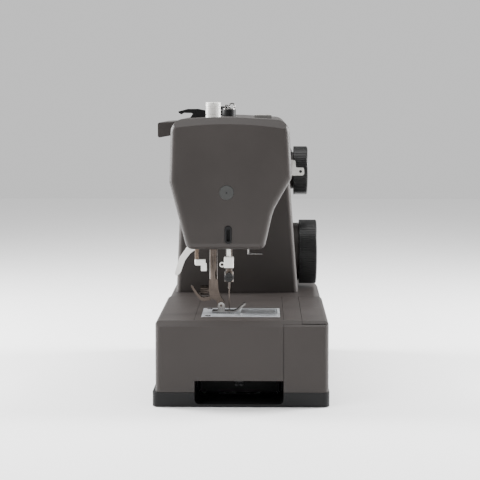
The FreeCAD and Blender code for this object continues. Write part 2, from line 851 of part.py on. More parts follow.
def machine_frame():
    # Cast frame: head plate and needle guides, arm slab, two pillar plates and the bed beam.
    head_wall = 6.0
    rear_y = 46.0
    front_y = -40.0
    plate_top = head_bottom + 98
    guide_end = needle_x + 3.9
    plate_low = bed_height - 60
    beam_low = arm_underside + wall + 0.2
    hook_side = 12.0
    hook_shelf = hook_floor - 5
    second_split = bed_height + 26
    first_end = frame_first_x + frame_plate
    second_end = frame_second_x + frame_plate
    solids = [box(needle_x - 8, frame_head_x + head_wall, 40, rear_y, head_bottom + 4, plate_top),
              box(frame_head_x, frame_head_x + head_wall, -16, rear_y, head_bottom + 4, head_bottom + 52),
              box(frame_head_x, frame_head_x + head_wall, -30, rear_y, head_bottom + 48, plate_top),
              rod_x(head_bush()[0], head_bush()[1], needle_y, shaft_height, bush_radius + 4),
              box(needle_x - 6, guide_end, 4, 42, head_bottom + 52, head_bottom + 62),
              box(needle_x - 22, guide_end, 4, 49, head_bottom + 3, head_bottom + 6.8),
              rod_x(link_x1 + slip, frame_head_x + 2, take_up_pivot_y, take_up_pivot_z, take_up_pin_radius),
              rod_y(rear_y - 2, 52.6, lifter_x, lifter_z, lifter_pin_radius),
              box(frame_head_x + 5, frame_head_x + 15, tension_y - 3, tension_y + 15,
                  tension_z - 4, tension_z + 4),
              rod_x(tension_x - 4, frame_head_x + head_wall, tension_y, tension_z, tension_pin_radius),
              box(frame_head_x + 2, frame_first_x + 4, -22, rear_y, arm_bottom + 4, arm_bottom + 12),
              box(frame_first_x, first_end, front_y, 60, plate_low, head_bottom + 100),
              box(frame_first_x + 4, frame_second_x + 4, 48, 56, second_split, head_bottom + 88),
              box(frame_second_x, second_end, front_y, 52, second_split, plate_top),
              box(frame_second_x, second_end, front_y, 20, plate_low, second_split + 5),
              box(needle_x + 34, frame_first_x + 4, -20, 35, beam_low, beam_low + 5.3),
              box(hook_bush()[0], hook_bush()[1], hook_y - hook_side, hook_y + hook_side,
                  beam_low, hook_floor - 0.6),
              box(needle_x - 10, needle_x + 30, hook_y - hook_side, hook_y + hook_side,
                  hook_shelf, hook_floor - 0.6)]
    frame = fuse(solids)
    guide_low = head_bottom - over
    guide_high = head_bottom + 68
    rod_fit = slim_rod_radius + running
    cuts = [rod_x(frame_head_x - 5, second_end + over, needle_y, shaft_height, bush_radius),
            rod_x(hook_bush()[0] - over, second_end + over, hook_y, lower_shaft_height, lower_bush_radius),
            rod_z(guide_low, guide_high, needle_x, needle_y, needle_bar_radius + running),
            rod_z(guide_low, guide_high, needle_x, presser_y, presser_bar_radius + running),
            rod_z(guide_low, head_bottom + 18, threader_x, needle_y, rod_fit),
            rod_z(guide_low, head_bottom + 18, buttonhole_x, buttonhole_y, rod_fit),
            rod_z(hook_shelf - over, hook_floor, needle_x, hook_y, hook_shaft_radius + running)]
    return frame.cut(cuts)


def head_bush():
    return (frame_head_x - 1.5, frame_head_x + 14.0)


def hook_bush():
    return (needle_x + 24.0, needle_x + 36.0)


def shaft_bushes():
    # Bronze sleeves pressed into the frame at the ends of both shafts.
    second = (frame_second_x, frame_second_x + frame_plate)
    made = []
    for x0, x1 in (head_bush(), second):
        sleeve = rod_x(x0, x1, needle_y, shaft_height, bush_radius)
        bore = rod_x(x0 - over, x1 + over, needle_y, shaft_height, main_shaft_radius + running)
        made.append(sleeve.cut(bore))
    for x0, x1 in (hook_bush(), second):
        sleeve = rod_x(x0, x1, hook_y, lower_shaft_height, lower_bush_radius)
        bore = rod_x(x0 - over, x1 + over, hook_y, lower_shaft_height, lower_shaft_radius + running)
        made.append(sleeve.cut(bore))
    return Part.makeCompound(made)


def crank_angle():
    # Turn of the crank pin from its top, where the needle hangs rest_drop below its highest place.
    low = 0.0
    high = math.pi
    for step in range(60):
        turn = (low + high) / 2
        swing = crank_throw * math.sin(turn)
        drop = crank_throw * (1 - math.cos(turn)) + link_length - math.sqrt(link_length ** 2 - swing ** 2)
        if drop < rest_drop:
            low = turn
        else:
            high = turn
    return turn


def crank_pin_place():
    turn = crank_angle()
    return (needle_y - crank_throw * math.sin(turn), shaft_height + crank_throw * math.cos(turn))


def stud_height():
    return shaft_height + crank_throw - link_length - rest_drop


def pulley(x0, width, y, z, radius):
    # A belt pulley with a flange on each side.
    return [rod_x(x0 - flange_width, x0, y, z, radius + flange_rise),
            rod_x(x0, x0 + width, y, z, radius - slip),
            rod_x(x0 + width, x0 + width + flange_width, y, z, radius + flange_rise)]


def main_shaft():
    # Upper shaft with the crank disc, its counterweight and pin, and the two pulleys.
    pin_y, pin_z = crank_pin_place()
    disc_x0 = needle_x + 14.5
    disc_x1 = needle_x + 21.5
    relief_depth = 2.5
    disc = rod_x(disc_x0, disc_x1, needle_y, shaft_height, crank_disc_radius)
    relief = rod_x(disc_x0 - over, disc_x0 + relief_depth, 2 * needle_y - pin_y, 2 * shaft_height - pin_z, 9)
    shaft = [disc.cut(relief),
             rod_x(link_x0 - 0.6, disc_x0 + 0.5, pin_y, pin_z, crank_pin_radius),
             rod_x(disc_x1 - 1.5, shaft_end_x, needle_y, shaft_height, main_shaft_radius)]
    shaft += pulley(timing_x, timing_width, needle_y, shaft_height, timing_radius)
    shaft += pulley(drive_x, belt_width, needle_y, shaft_height, drive_pulley_radius)
    return fuse(shaft)


def needle_link():
    # Link that hangs from the crank pin towards the needle bar stud.
    pin_y, pin_z = crank_pin_place()
    low_z = pin_z - link_length
    half_width = 3.0
    top_radius = 6.0
    low_radius = 5.0
    strap = box(link_x0, link_x1, pin_y - half_width, pin_y + half_width, low_z, pin_z)
    link = fuse([strap, rod_x(link_x0, link_x1, pin_y, pin_z, top_radius),
                 rod_x(link_x0, link_x1, pin_y, low_z, low_radius)])
    link = link.cut(rod_x(link_x0 - over, link_x1 + over, pin_y, pin_z, crank_pin_radius + running))
    return link.cut(rod_x(link_x0 - over, link_x1 + over, pin_y, low_z, low_radius - 2.4))


def needle_bar():
    # Bar with its driving stud, thread guide and needle clamp.
    z = stud_height()
    clamp_low = bed_height + 31.5
    socket_radius = 1.05
    bar = rod_z(clamp_low + 0.5, bar_top, needle_x, needle_y, needle_bar_radius)
    stud = box(needle_x - 4.6, needle_x + 4.1, needle_y - 5, needle_y + 5, z - 4, z + 4)
    clamp = rod_z(clamp_low, clamp_low + 10.5, needle_x, needle_y, 4.4)
    collar = rod_z(clamp_low + 15.5, clamp_low + 18.5, needle_x, needle_y, 4.2)
    socket = rod_z(clamp_low - over, socket_top, needle_x, needle_y, socket_radius)
    return fuse([bar.cut(socket), stud, clamp.cut(socket), collar])


def needle_clamp_screw():
    # Thumb screw that pinches the needle, its cross slot facing the needle end.
    start = needle_x - 4.4
    head_end = start - 1.6
    face = start - 7.5
    slot_end = face + 1.3
    knurls = 14
    head = rod_x(face, head_end, needle_y, clamp_height, 4.6)
    head = fillet_where(head, 0.6, lambda e: along_at(e, "X", face))
    neck = rod_x(head_end, start - running, needle_y, clamp_height, 2.0)
    cuts = [box(face - over, slot_end, needle_y - 3, needle_y + 3, clamp_height - 0.5, clamp_height + 0.5),
            box(face - over, slot_end, needle_y - 0.5, needle_y + 0.5, clamp_height - 3, clamp_height + 3)]
    for i in range(knurls):
        turn = 2 * math.pi * i / knurls
        cuts.append(rod_x(face - over, head_end, needle_y + 5.3 * math.cos(turn),
                          clamp_height + 5.3 * math.sin(turn), 0.9))
    return fuse([head, neck]).cut(cuts)


def needle():
    point_length = 4.0
    blade_radius = 0.5
    blade_top = needle_tip + 26
    eye_half = 0.18
    point = Part.makeCone(0.08, blade_radius, point_length, vec(needle_x, needle_y, needle_tip), vec(0, 0, 1))
    blade = rod_z(needle_tip + point_length, blade_top, needle_x, needle_y, blade_radius)
    shank = rod_z(blade_top, socket_top, needle_x, needle_y, 1.0)
    made = fuse([point, blade, shank])
    return made.cut(box(needle_x - eye_half, needle_x + eye_half, needle_y - 5, needle_y + 5,
                        needle_tip + 4.5, needle_tip + 6.5))


def take_up_lever():
    # Lever that pulls up the thread: hub, arm through the front slot, hooked eye at the tip.
    x0 = link_x1 + 0.7
    x1 = x0 + 2.4
    y = take_up_pivot_y
    z = take_up_pivot_z
    arm = prism_x([(y + 2, z - 4, 0), (y - 4, z - 4, 1), (y - 20, z + 12.5, 6), (y - 30.5, z + 7.4, 3),
                   (y - 42.2, z + 7.4, 2.4), (y - 42.2, z + 15.2, 2.0), (y - 34.0, z + 15.2, 1.5),
                   (y - 33.4, z + 22.2, 1.2), (y - 29.5, z + 23.2, 3), (y - 3, z + 4.6, 2),
                   (y + 2, z + 4.6, 0)], x0, x1)
    lever = fuse([arm, rod_x(x0, x1 + 1.5, y, z, 6)])
    lever = lever.cut(rod_x(x0 - 3, x1 + 3, y, z, take_up_pin_radius + running))
    return lever.cut(rod_x(x0 - over, x1 + over, y - 38.6, z + 11.4, 1.5))


def handwheel():
    # Knurled wheel with a dished hub, fast on the end of the upper shaft.
    x1 = handwheel_x + handwheel_thick
    outer_edge = 5.0
    inner_edge = 1.5
    dish = 6.0
    dish_wall = 9.0
    hub_edge = 2.0
    knurls = 40
    knurl_radius = 1.9
    knurl_out = handwheel_radius + 1.1
    wheel = rod_x(handwheel_x, x1, needle_y, shaft_height, handwheel_radius)
    wheel = fillet_where(wheel, outer_edge, lambda e: along_at(e, "X", x1))
    wheel = fillet_where(wheel, inner_edge, lambda e: along_at(e, "X", handwheel_x))
    wheel = wheel.cut(rod_x(x1 - dish, x1 + over, needle_y, shaft_height, handwheel_radius - dish_wall))
    hub = rod_x(x1 - dish - 0.5, x1 - 1, needle_y, shaft_height, handwheel_hub_radius)
    hub = fillet_where(hub, hub_edge, lambda e: along_at(e, "X", x1 - 1))
    sleeve = rod_x(side_cover_end_x - 3, handwheel_x + 1, needle_y, shaft_height, handwheel_hub_radius)
    cuts = [rod_x(side_cover_end_x - 9, shaft_end_x, needle_y, shaft_height, main_shaft_radius)]
    for i in range(knurls):
        turn = 2 * math.pi * i / knurls
        cuts.append(rod_x(handwheel_x + 3, x1 - 5.5, needle_y + knurl_out * math.cos(turn),
                          shaft_height + knurl_out * math.sin(turn), knurl_radius))
    return fuse([wheel, hub, sleeve]).cut(cuts)


def bevel_gear(teeth, cone_turn, phase):
    # Straight bevel gear on +Z, its cone apex at the origin and its wide end away from the apex.
    cone_length = hook_gear_radius / math.sin(math.atan(hook_gear_teeth / shaft_gear_teeth))
    inner = cone_length - gear_face
    module = 2 * hook_gear_radius / hook_gear_teeth
    depth = 1.15 * module
    rise = 0.72 * module
    root_half = 0.92 * module
    tip_half = 0.34 * module
    buried = 1.6 * depth

    def at(length, out, side, turn):
        # A point on the tooth: length along the cone, out from it, side across it.
        radius = length * math.sin(cone_turn) + out * math.cos(cone_turn)
        height = length * math.cos(cone_turn) - out * math.sin(cone_turn)
        return vec(radius * math.cos(turn) - side * math.sin(turn),
                   radius * math.sin(turn) + side * math.cos(turn), height)

    low = at(inner, -depth * inner / cone_length, 0, 0)
    high = at(cone_length, -depth, 0, 0)
    body = Part.makeCone(low.x, high.x, high.z - low.z, vec(0, 0, low.z), vec(0, 0, 1))
    for i in range(teeth):
        turn = 2 * math.pi * (i + phase) / teeth
        wires = []
        for length in (inner, cone_length):
            scale = length / cone_length
            corners = [at(length, -buried * scale, -root_half * scale, turn),
                       at(length, rise * scale, -tip_half * scale, turn),
                       at(length, rise * scale, tip_half * scale, turn),
                       at(length, -buried * scale, root_half * scale, turn)]
            wires.append(Part.makePolygon(corners + [corners[0]]))
        body = body.fuse(Part.makeLoft(wires, True, True))
    return body


def shaft_gear_cone():
    return math.atan(shaft_gear_teeth / hook_gear_teeth)


def lower_shaft():
    # Lower shaft with the bevel gear that turns the hook and its timing pulley.
    gear = bevel_gear(shaft_gear_teeth, shaft_gear_cone(), 0.0)
    gear.rotate(vec(0, 0, 0), vec(0, 1, 0), 90)
    gear.translate(vec(needle_x, hook_y, lower_shaft_height))
    y = hook_y
    z = lower_shaft_height
    back = gear.BoundBox.XMax
    shaft = [gear, rod_x(back - 2, back + 6, y, z, 2 * lower_shaft_radius),
             rod_x(back - 1, frame_second_x + frame_plate, y, z, lower_shaft_radius)]
    return fuse(shaft + pulley(timing_x, timing_width, y, z, timing_radius))


def timing_belt():
    side = 0.5
    return belt_loop(timing_x + side, timing_x + timing_width - side, (needle_y, shaft_height),
                     (hook_y, lower_shaft_height), timing_radius, timing_radius, belt_thickness)


def drive_belt():
    side = 0.5
    return belt_loop(drive_x + side, drive_x + belt_width - side, (needle_y, shaft_height),
                     (motor_y, motor_z), drive_pulley_radius, motor_pulley_radius, belt_thickness)


def motor_face():
    return frame_first_x + frame_plate + 4


def motor():
    # Can motor bolted to the first pillar plate, with cooling holes round its end.
    x0 = motor_face()
    x1 = x0 + motor_length
    edge = 3.0
    holes = 8
    hole_ring = 15.0
    hole_radius = 3.0
    case = rod_x(x0, x1, motor_y, motor_z, motor_radius)
    case = fillet_where(case, edge, lambda e: along_at(e, "X", x1))
    flange = rod_x(x0 - 4, x0, motor_y, motor_z, motor_radius - 8)
    boss = rod_x(x1, x1 + 4, motor_y, motor_z, 8)
    cuts = [rod_x(x1 - 6, x1 + 14, motor_y, motor_z, motor_shaft_radius + running)]
    for i in range(holes):
        turn = 2 * math.pi * i / holes
        cuts.append(rod_x(x1 - 3, x1 + over, motor_y + hole_ring * math.cos(turn),
                          motor_z + hole_ring * math.sin(turn), hole_radius))
    return fuse([case, flange, boss]).cut(cuts)


def motor_rotor():
    start = motor_face() + motor_length - 4
    shaft = rod_x(start, drive_x + belt_width + 3, motor_y, motor_z, motor_shaft_radius)
    return fuse([shaft] + pulley(drive_x, belt_width, motor_y, motor_z, motor_pulley_radius))


def hook_ring():
    # Turning hook: open cup with a beak, on a short upright shaft with the small bevel gear.
    gear = bevel_gear(hook_gear_teeth, math.pi / 2 - shaft_gear_cone(), 0.5)
    gear.translate(vec(needle_x, hook_y, lower_shaft_height))
    top = gear.BoundBox.ZMax
    cup_wall = 1.6
    cup_top = hook_floor + 13.4
    rim = hook_y + hook_radius
    cup = rod_z(hook_floor, cup_top, needle_x, hook_y, hook_radius)
    cup = cup.cut(rod_z(hook_floor + cup_wall, cup_top + over, needle_x, hook_y, hook_radius - cup_wall))
    window = box(needle_x + 2, needle_x + 30, hook_y, hook_y + 30, hook_floor + 6.4, cup_top + over)
    beak = prism_z([(needle_x - 1.0, rim - 1.4, 0), (needle_x + 6.5, rim - 3.2, 0),
                    (needle_x - 1.0, rim - 0.3, 0)], hook_floor + 8.4, hook_floor + 10.0)
    shaft = rod_z(top - 1, hook_floor + 0.4, needle_x, hook_y, hook_shaft_radius)
    return fuse([gear, shaft, cup.cut(window), beak])


def bobbin_case():
    # Still basket inside the hook; it rests clear of the turning cup and holds the bobbin.
    outer = hook_radius - 2.4
    inner = outer - 1.8
    low = hook_floor + 2.4
    top = hook_floor + 17.0
    arm_low = hook_floor - 4.2
    side = 5.0
    case = rod_z(low, top, needle_x, hook_y, outer)
    case = case.cut(rod_z(low + 1.2, top + over, needle_x, hook_y, inner))
    stop = box(needle_x - 20, needle_x - 11, hook_y - side, hook_y + side, top - 1.6, top)
    stop = stop.cut(rod_z(low, top + over, needle_x, hook_y, inner))
    post = box(needle_x - 23, needle_x - 19, hook_y - side, hook_y + side, arm_low + 0.6, top)
    foot = box(needle_x - 23, needle_x - 10, hook_y - side, hook_y + side, arm_low, arm_low + 2.6)
    return fuse([case, stop, post, foot])


def bobbin():
    # Clear bobbin with six holes in each flange, wound with thread.
    low = hook_floor + 4.0
    top = hook_floor + 15.4
    flange = 1.2
    core = 4.5
    radius = 10.3
    holes = 6
    hole_ring = 7.2
    hole_radius = 1.1
    spool = rod_z(low, top, needle_x, hook_y, radius)
    waist = rod_z(low + flange, top - flange, needle_x, hook_y, radius + over)
    spool = spool.cut(waist.cut(rod_z(low, top, needle_x, hook_y, core)))
    cuts = [rod_z(low - over, top + over, needle_x, hook_y, 3.0)]
    for i in range(holes):
        turn = 2 * math.pi * i / holes
        cuts.append(rod_z(low - over, top + over, needle_x + hole_ring * math.cos(turn),
                          hook_y + hole_ring * math.sin(turn), hole_radius))
    return spool.cut(cuts)


def bobbin_thread():
    low = hook_floor + 5.25
    top = hook_floor + 14.15
    wound = rod_z(low, top, needle_x, hook_y, 8.6)
    return wound.cut(rod_z(low - over, top + over, needle_x, hook_y, 4.5))


def feed_dog():
    # Toothed feet that carry the cloth, joined below the plate to one bar.
    low = bed_height - 8
    half = 1.2
    teeth = 9
    step = 2.0
    tooth_low = bed_height - 0.3
    tooth_top = bed_height + 0.4
    solids = []
    for side in (-1, 1):
        x = needle_x + side * feed_spacing
        solids.append(box(x - half, x + half, needle_y - 5.5, needle_y + 13, low + 3, bed_height - 0.1))
        for i in range(teeth):
            y = needle_y - 5 + i * step
            tooth = [(y, tooth_low, 0), (y + 1.8, tooth_low, 0), (y + 0.9, tooth_top, 0)]
            solids.append(prism_x(tooth, x - half, x + half))
    solids.append(box(needle_x - 8.5, needle_x + 8.5, needle_y + 5.5, needle_y + 13, low, low + 4))
    solids.append(box(needle_x + 4, needle_x + 60, needle_y + 7, needle_y + 12, low - 3, low + 1))
    return fuse(solids)


# Presser, threader and levers

def presser_bar():
    collar_low = head_bottom + 32
    bar = rod_z(bed_height + 26, bar_top, needle_x, presser_y, presser_bar_radius)
    collar = rod_z(collar_low, collar_low + 6, needle_x, presser_y, presser_bar_radius + 1.6)
    return fuse([bar, collar])


def presser_spring():
    # Coil that presses the foot down, between the bar's collar and the upper guide.
    pitch = 3.2
    wire_radius = 0.6
    radius = presser_bar_radius + 1.6
    helix = Part.makeHelix(pitch, spring_length, radius)
    section = Part.Wire(Part.Circle(vec(radius, 0, 0), vec(0, 1, 0), wire_radius).toShape())
    spring = Part.Wire(helix).makePipeShell([section], True, True)
    spring.translate(vec(needle_x, presser_y, spring_low))
    return spring


def ankle():
    # Shank that hangs the foot from the presser bar, with its release lever behind.
    half = 3.5
    lever_half = 2.5
    pin_half = 6.0
    y = presser_y
    z = bed_height
    body = prism_x([(y - 4.4, z + 34, 1), (y + 4.4, z + 34, 1), (y + 4.8, z + 23, 2), (y + 3, z + 15, 2),
                    (y - 3, z + 13, 3), (y - 4.6, z + 5.6, 1.5), (y - 11, z + 5.6, 1.5), (y - 11, z + 11, 2),
                    (y - 6.5, z + 18, 3), (y - 4.8, z + 25, 2)], needle_x - half, needle_x + half)
    body = body.cut(rod_z(z + 25.9, z + 46, needle_x, y, presser_bar_radius))
    lever = prism_x([(y + 2.6, z + 13, 0), (y + 12, z + 11.6, 6), (y + 17.5, z + 18, 4),
                     (y + 22.9, z + 27, 0.6), (y + 21.2, z + 28, 0.6), (y + 16, z + 20, 4),
                     (y + 11.5, z + 15.4, 4), (y + 2.6, z + 17, 0)],
                    needle_x - lever_half, needle_x + lever_half)
    pin = rod_x(needle_x - pin_half, needle_x + pin_half, foot_pivot_y, foot_pivot_z, foot_pin_radius)
    return fuse([body, lever, pin])


def ankle_screw():
    # Thumb screw that clamps the shank to the presser bar.
    y = presser_y + 4.9
    z = ankle_screw_height
    length = 8.3
    knurls = 16
    knurl_out = 5.5
    cuts = []
    for i in range(knurls):
        turn = 2 * math.pi * i / knurls
        cuts.append(rod_y(y + 0.8, y + length + over, needle_x + knurl_out * math.cos(turn),
                          z + knurl_out * math.sin(turn), 1.0))
    return rod_y(y, y + length, needle_x, z, 4.8).cut(cuts)


def presser_foot():
    # Hinged foot with two toes turned up at the front and ears for the shank's pin.
    low = bed_height + foot_stand
    thick = 1.7
    half = 6.0
    heel_y = 30.0
    bend = 8.0
    ear_half = 1.0
    ear_radius = 3.4
    ear_out = half - ear_half - 0.1
    gap_half = 2.2
    y = foot_pivot_y
    z = foot_pivot_z
    sole = prism_x([(heel_y, low, 0.5), (5.5, low, bend), (-3.9, low + 8.3, 0.5), (-2.9, low + 9.4, 0.4),
                    (6.2, low + thick, bend), (heel_y, low + thick, 0.5)], needle_x - half, needle_x + half)
    ears = []
    for side in (-1, 1):
        x = needle_x + side * ear_out
        ears.append(box(x - ear_half, x + ear_half, y - 3.5, y + 3.5, low + 1, z))
        ears.append(rod_x(x - ear_half, x + ear_half, y, z, ear_radius))
    foot = fuse([sole] + ears)
    cuts = [box(needle_x - 3.9, needle_x + 3.9, y - 6, y + 12, low + thick + running, z + 10),
            rod_x(needle_x - 8, needle_x + 8, y, z, foot_pin_radius + running),
            box(needle_x - gap_half, needle_x + gap_half, -10, needle_y + 3.2, low - over, z + 10)]
    return foot.cut(cuts)


def presser_lifter():
    # White lever behind the head: hub on the frame's pin and a curved finger blade.
    front = 46.4
    z = head_bottom
    hub = rod_y(front, front + 6, lifter_x, lifter_z, 6.0)
    neck = box(lifter_x - 4, lifter_x + 4, front, front + 4.2, z - 2.5, lifter_z)
    blade = prism_x([(front, z, 0), (front + 4.2, z, 0), (56.5, z - 4.2, 4), (63.5, z - 14, 8),
                     (68.2, z - 30, 3), (66.6, z - 32.4, 1.2), (62.6, z - 29.4, 3), (58, z - 17, 8),
                     (52.5, z - 9.4, 4), (front, z - 5, 2)], lifter_x - 5, lifter_x + 5)
    lever = fuse([hub, neck, blade])
    return lever.cut(rod_y(front - 6.4, front + 13.6, lifter_x, lifter_z, lifter_pin_radius + running))


def buttonhole_lever():
    # Pull-down rod with a stepped finger tip turned forward.
    half = 3.0
    y = buttonhole_y
    z = head_bottom
    rod = rod_z(z - 18, z + 28, buttonhole_x, y, slim_rod_radius)
    tip = prism_x([(y + 1.2, z - 13, 0.6), (y - 8.6, z - 13, 0.6), (y - 8.6, z - 16.6, 0.4),
                   (y - 9.8, z - 17.4, 0.4), (y - 9.8, z - 24.3, 0.6), (y - 4.2, z - 24.3, 0.6),
                   (y - 4.2, z - 18.6, 0.4), (y + 1.2, z - 18.6, 0.6)],
                  buttonhole_x - half, buttonhole_x + half)
    return fuse([rod, tip])


def needle_threader():
    # Sliding block beside the needle with its small finger hook behind.
    z = head_bottom
    edge = 1.2
    ring_y = needle_y + 6.6
    ring_z = z - 17.6
    rod = rod_z(z - 12, z + 30, threader_x, needle_y, slim_rod_radius)
    block = box(threader_x - 4, threader_x + 4, needle_y - 4.8, needle_y + 4.6, z - 20.5, z - 10)
    block = fillet_where(block, edge, lambda e: e.BoundBox.ZLength > 8)
    ring = rod_x(threader_x - 1, threader_x + 1, ring_y, ring_z, 2.6)
    ring = ring.cut(rod_x(threader_x - 2, threader_x + 2, ring_y, ring_z, 1.5))
    return fuse([rod, block, ring])


def wire_guide_place():
    return (needle_x + 30.0, -6.0)


def wire_guide():
    # Thread guide wire under the front of the head.
    x, y = wire_guide_place()
    z = head_bottom - 11.5
    radius = 0.9
    drop = rod_z(z, head_bottom + wall, x, y, radius)
    run = rod_y(y - 14.5, y, x, z, radius)
    return fuse([drop, run, Part.makeSphere(radius, vec(x, y, z))])


# Dials, knobs and top fittings

def selector_seat():
    return pillar_front_foot - 1.4


def length_seat():
    return -54.6


def selector_bezel():
    seat = selector_seat()
    bezel = rod_y(seat, seat + 12.5, dial_x, selector_height, selector_bezel_radius)
    return bezel.cut(rod_y(seat - over, seat + 20, dial_x, selector_height, selector_shaft_radius + running))


def length_dial_boss():
    seat = length_seat()
    boss = rod_y(seat, seat + 10.6, dial_x, length_dial_height, length_boss_radius)
    return boss.cut(rod_y(seat - over, seat + 20, dial_x, length_dial_height, length_shaft_radius + running))


def pointer(front, low, high):
    # Groove in a dial's face that shows its setting.
    half = 0.8
    depth = 0.6
    return box(dial_x - half, dial_x + half, front - over, front + depth, low, high)


def selector_dial():
    # Stitch pattern dial, ribbed round its rim, on a shaft that carries the pattern cam.
    ribs = 90
    back = selector_seat() - 0.5
    front = back - selector_thick
    z = selector_height
    cam_front = back + 17.5
    dial = ribbed_dial(front, back, dial_x, z, selector_radius, ribs, dial_edge)
    shaft = rod_y(back - 1, back + 31.5, dial_x, z, selector_shaft_radius)
    cam = rod_y(cam_front, cam_front + 12, dial_x, z, 18.0)
    cam = cam.cut(rod_y(cam_front - over, cam_front + 13, dial_x + 14, z, 7.0))
    return fuse([dial.cut(pointer(front, z + 22, z + 33)), shaft, cam])


def length_dial():
    # Stitch length dial, ribbed round its rim.
    ribs = 70
    back = length_seat() - 0.4
    front = back - length_dial_thick
    z = length_dial_height
    dial = ribbed_dial(front, back, dial_x, z, length_dial_radius, ribs, dial_edge)
    shaft = rod_y(back - 1, back + 23, dial_x, z, length_shaft_radius)
    return fuse([dial.cut(pointer(front, z + 15, z + 25)), shaft])


def reverse_window():
    return box(reverse_x - 6, reverse_x + 6, -far, -40.0, reverse_height - 14, reverse_height + 6)


def reverse_lever():
    # Push-down lever for backstitching, guided by a flange behind the cover.
    front = -66.0
    edge = 1.5
    z = reverse_height
    blade = box(reverse_x - 5, reverse_x + 5, front, -46.0, z - 4, z + 4)
    blade = fillet_where(blade, edge, lambda e: along_at(e, "Y", front))
    flange = box(reverse_x - 8, reverse_x + 8, -47.0, -44.0, z - 10, z + 10)
    return fuse([blade, flange])


def tension_window():
    half = 3.4
    half_height = 9.5
    return box(tension_x - half, tension_x + half, -far, tension_y + 4, tension_z - half_height,
               tension_z + half_height)


def tension_wheel():
    # Thread tension wheel, its rim standing out of the front cover.
    half = 2.6
    knurls = 36
    knurl_out = tension_radius + 0.3
    wheel = rod_x(tension_x - half, tension_x + half, tension_y, tension_z, tension_radius)
    cuts = [rod_x(tension_x - 9, tension_x + 11, tension_y, tension_z, tension_pin_radius + running)]
    for i in range(knurls):
        turn = 2 * math.pi * i / knurls
        cuts.append(rod_x(tension_x - 4, tension_x + 4, tension_y + knurl_out * math.cos(turn),
                          tension_z + knurl_out * math.sin(turn), 0.6))
    return wheel.cut(cuts)


def stop_place():
    return (winder_x + 20.0, winder_y)


def top_holes():
    return ((needle_x, presser_y, pressure_radius + 0.1 + slip), (winder_x, winder_y, winder_radius + 0.4),
            (stop_place()[0], stop_place()[1], 3.0))


def pressure_dial():
    # Knob that sets the pressure of the foot, with a slot and rings round it.
    ring_drops = (5.0, 7.0, 12.6)
    ring_depth = 0.5
    ring_width = 0.8
    edge = 1.2
    slot_half = 0.7
    top = pressure_top
    knob = rod_z(head_bottom + 110, top, needle_x, presser_y, pressure_radius)
    knob = fillet_where(knob, edge, lambda e: along_at(e, "Z", top))
    cuts = [box(needle_x - 9, needle_x + 9, presser_y - slot_half, presser_y + slot_half,
                top - 1.8, top + over)]
    for drop in ring_drops:
        ring = rod_z(top - drop, top - drop + ring_width, needle_x, presser_y, pressure_radius + over)
        core = rod_z(top - drop, top - drop + ring_width, needle_x, presser_y, pressure_radius - ring_depth)
        cuts.append(ring.cut(core))
    return knob.cut(cuts)


def winder_tension():
    # Small drum on the top that steadies the thread for bobbin winding.
    edge = 0.8
    drum = rod_z(head_bottom + 118, drum_top, drum_x, drum_y, drum_radius).cut(casing_solid(0))
    return fillet_where(topmost(drum), edge, lambda e: along_at(e, "Z", drum_top))


def winder_disc():
    # Bright wire rings and washer on the drum.
    above = box(drum_x - 9, drum_x + 9, drum_y - 20, drum_y + 20, drum_top, drum_top + 20)
    washer = rod_z(drum_top, drum_top + 0.8, drum_x, drum_y, drum_radius - 0.8)
    small = Part.makeTorus(2.0, 0.6, vec(drum_x, drum_y + 2.6, drum_top + 2.2), vec(1, 0, 0))
    large = Part.makeTorus(2.8, 0.7, vec(drum_x, drum_y - 3.0, drum_top + 3.2), vec(1, 0, 0))
    return fuse([washer, small.common(above), large.common(above)])


def rear_thread_guide():
    # Hooked guide on the top, its open hook turned to the rear.
    x = head_end_x + 12
    half = 4.0
    z = head_bottom
    guide = prism_x([(37.6, z + 118, 0), (37.6, z + 134, 1.5), (46, z + 135.7, 6), (57, z + 135.6, 6),
                     (67.6, z + 132.8, 0.8), (63.4, z + 129.9, 0.8), (61, z + 131.6, 1), (51, z + 131.4, 1),
                     (55.5, z + 125, 0), (55.5, z + 118, 0)], x - half, x + half)
    return topmost(guide.cut(casing_solid(0)))


def front_thread_guide():
    # Low bright guide plate at the front edge of the top.
    x = head_end_x - 14
    top = head_bottom + 130.6
    edge = 2.0
    slot_half = 1.2
    guide = box(x - 5, x + 5, -29.5, -12.0, head_bottom + 118, top)
    guide = fillet_where(guide, edge, lambda e: along_at(e, "Z", top)).cut(casing_solid(0))
    return topmost(guide).cut(box(x - slot_half, x + slot_half, -40.0, 0, top - 1.8, top + over))


def spool_pin():
    # Lying spool pin on its foot.
    x = pillar_x + 12
    y = 24.0
    length = 70.0
    z = head_bottom + 118
    foot = box(x - 6, x + 2, y - 5, y + 5, z, z + 20).cut(casing_solid(0))
    return fuse([topmost(foot), rod_x(x - length, x, y, z + 16.2, 2.4)])


def winder_spindle():
    low = head_bottom + 114
    top = head_bottom + 139.5
    spindle = rod_z(low, top, winder_x, winder_y, winder_radius)
    tip = Part.makeCone(winder_radius, 2.2, 1.5, vec(winder_x, winder_y, top), vec(0, 0, 1))
    wheel = rod_z(low, low + 6, winder_x, winder_y, 12.0)
    return fuse([spindle, tip, wheel])


def winder_stop():
    # Round stop that limits how full the bobbin winds.
    x, y = stop_place()
    seat = head_bottom + 129
    return fuse([rod_z(seat, seat + 7.5, x, y, 5.0), rod_z(seat - 11, seat + 0.5, x, y, 2.6)])


def handle_channels(grow):
    side = 0.4 + grow
    return [box(x - side, x + handle_arm_width + side, handle_y - 12, handle_y + 47,
                handle_z - 11.5, handle_z + far) for x in handle_arms]


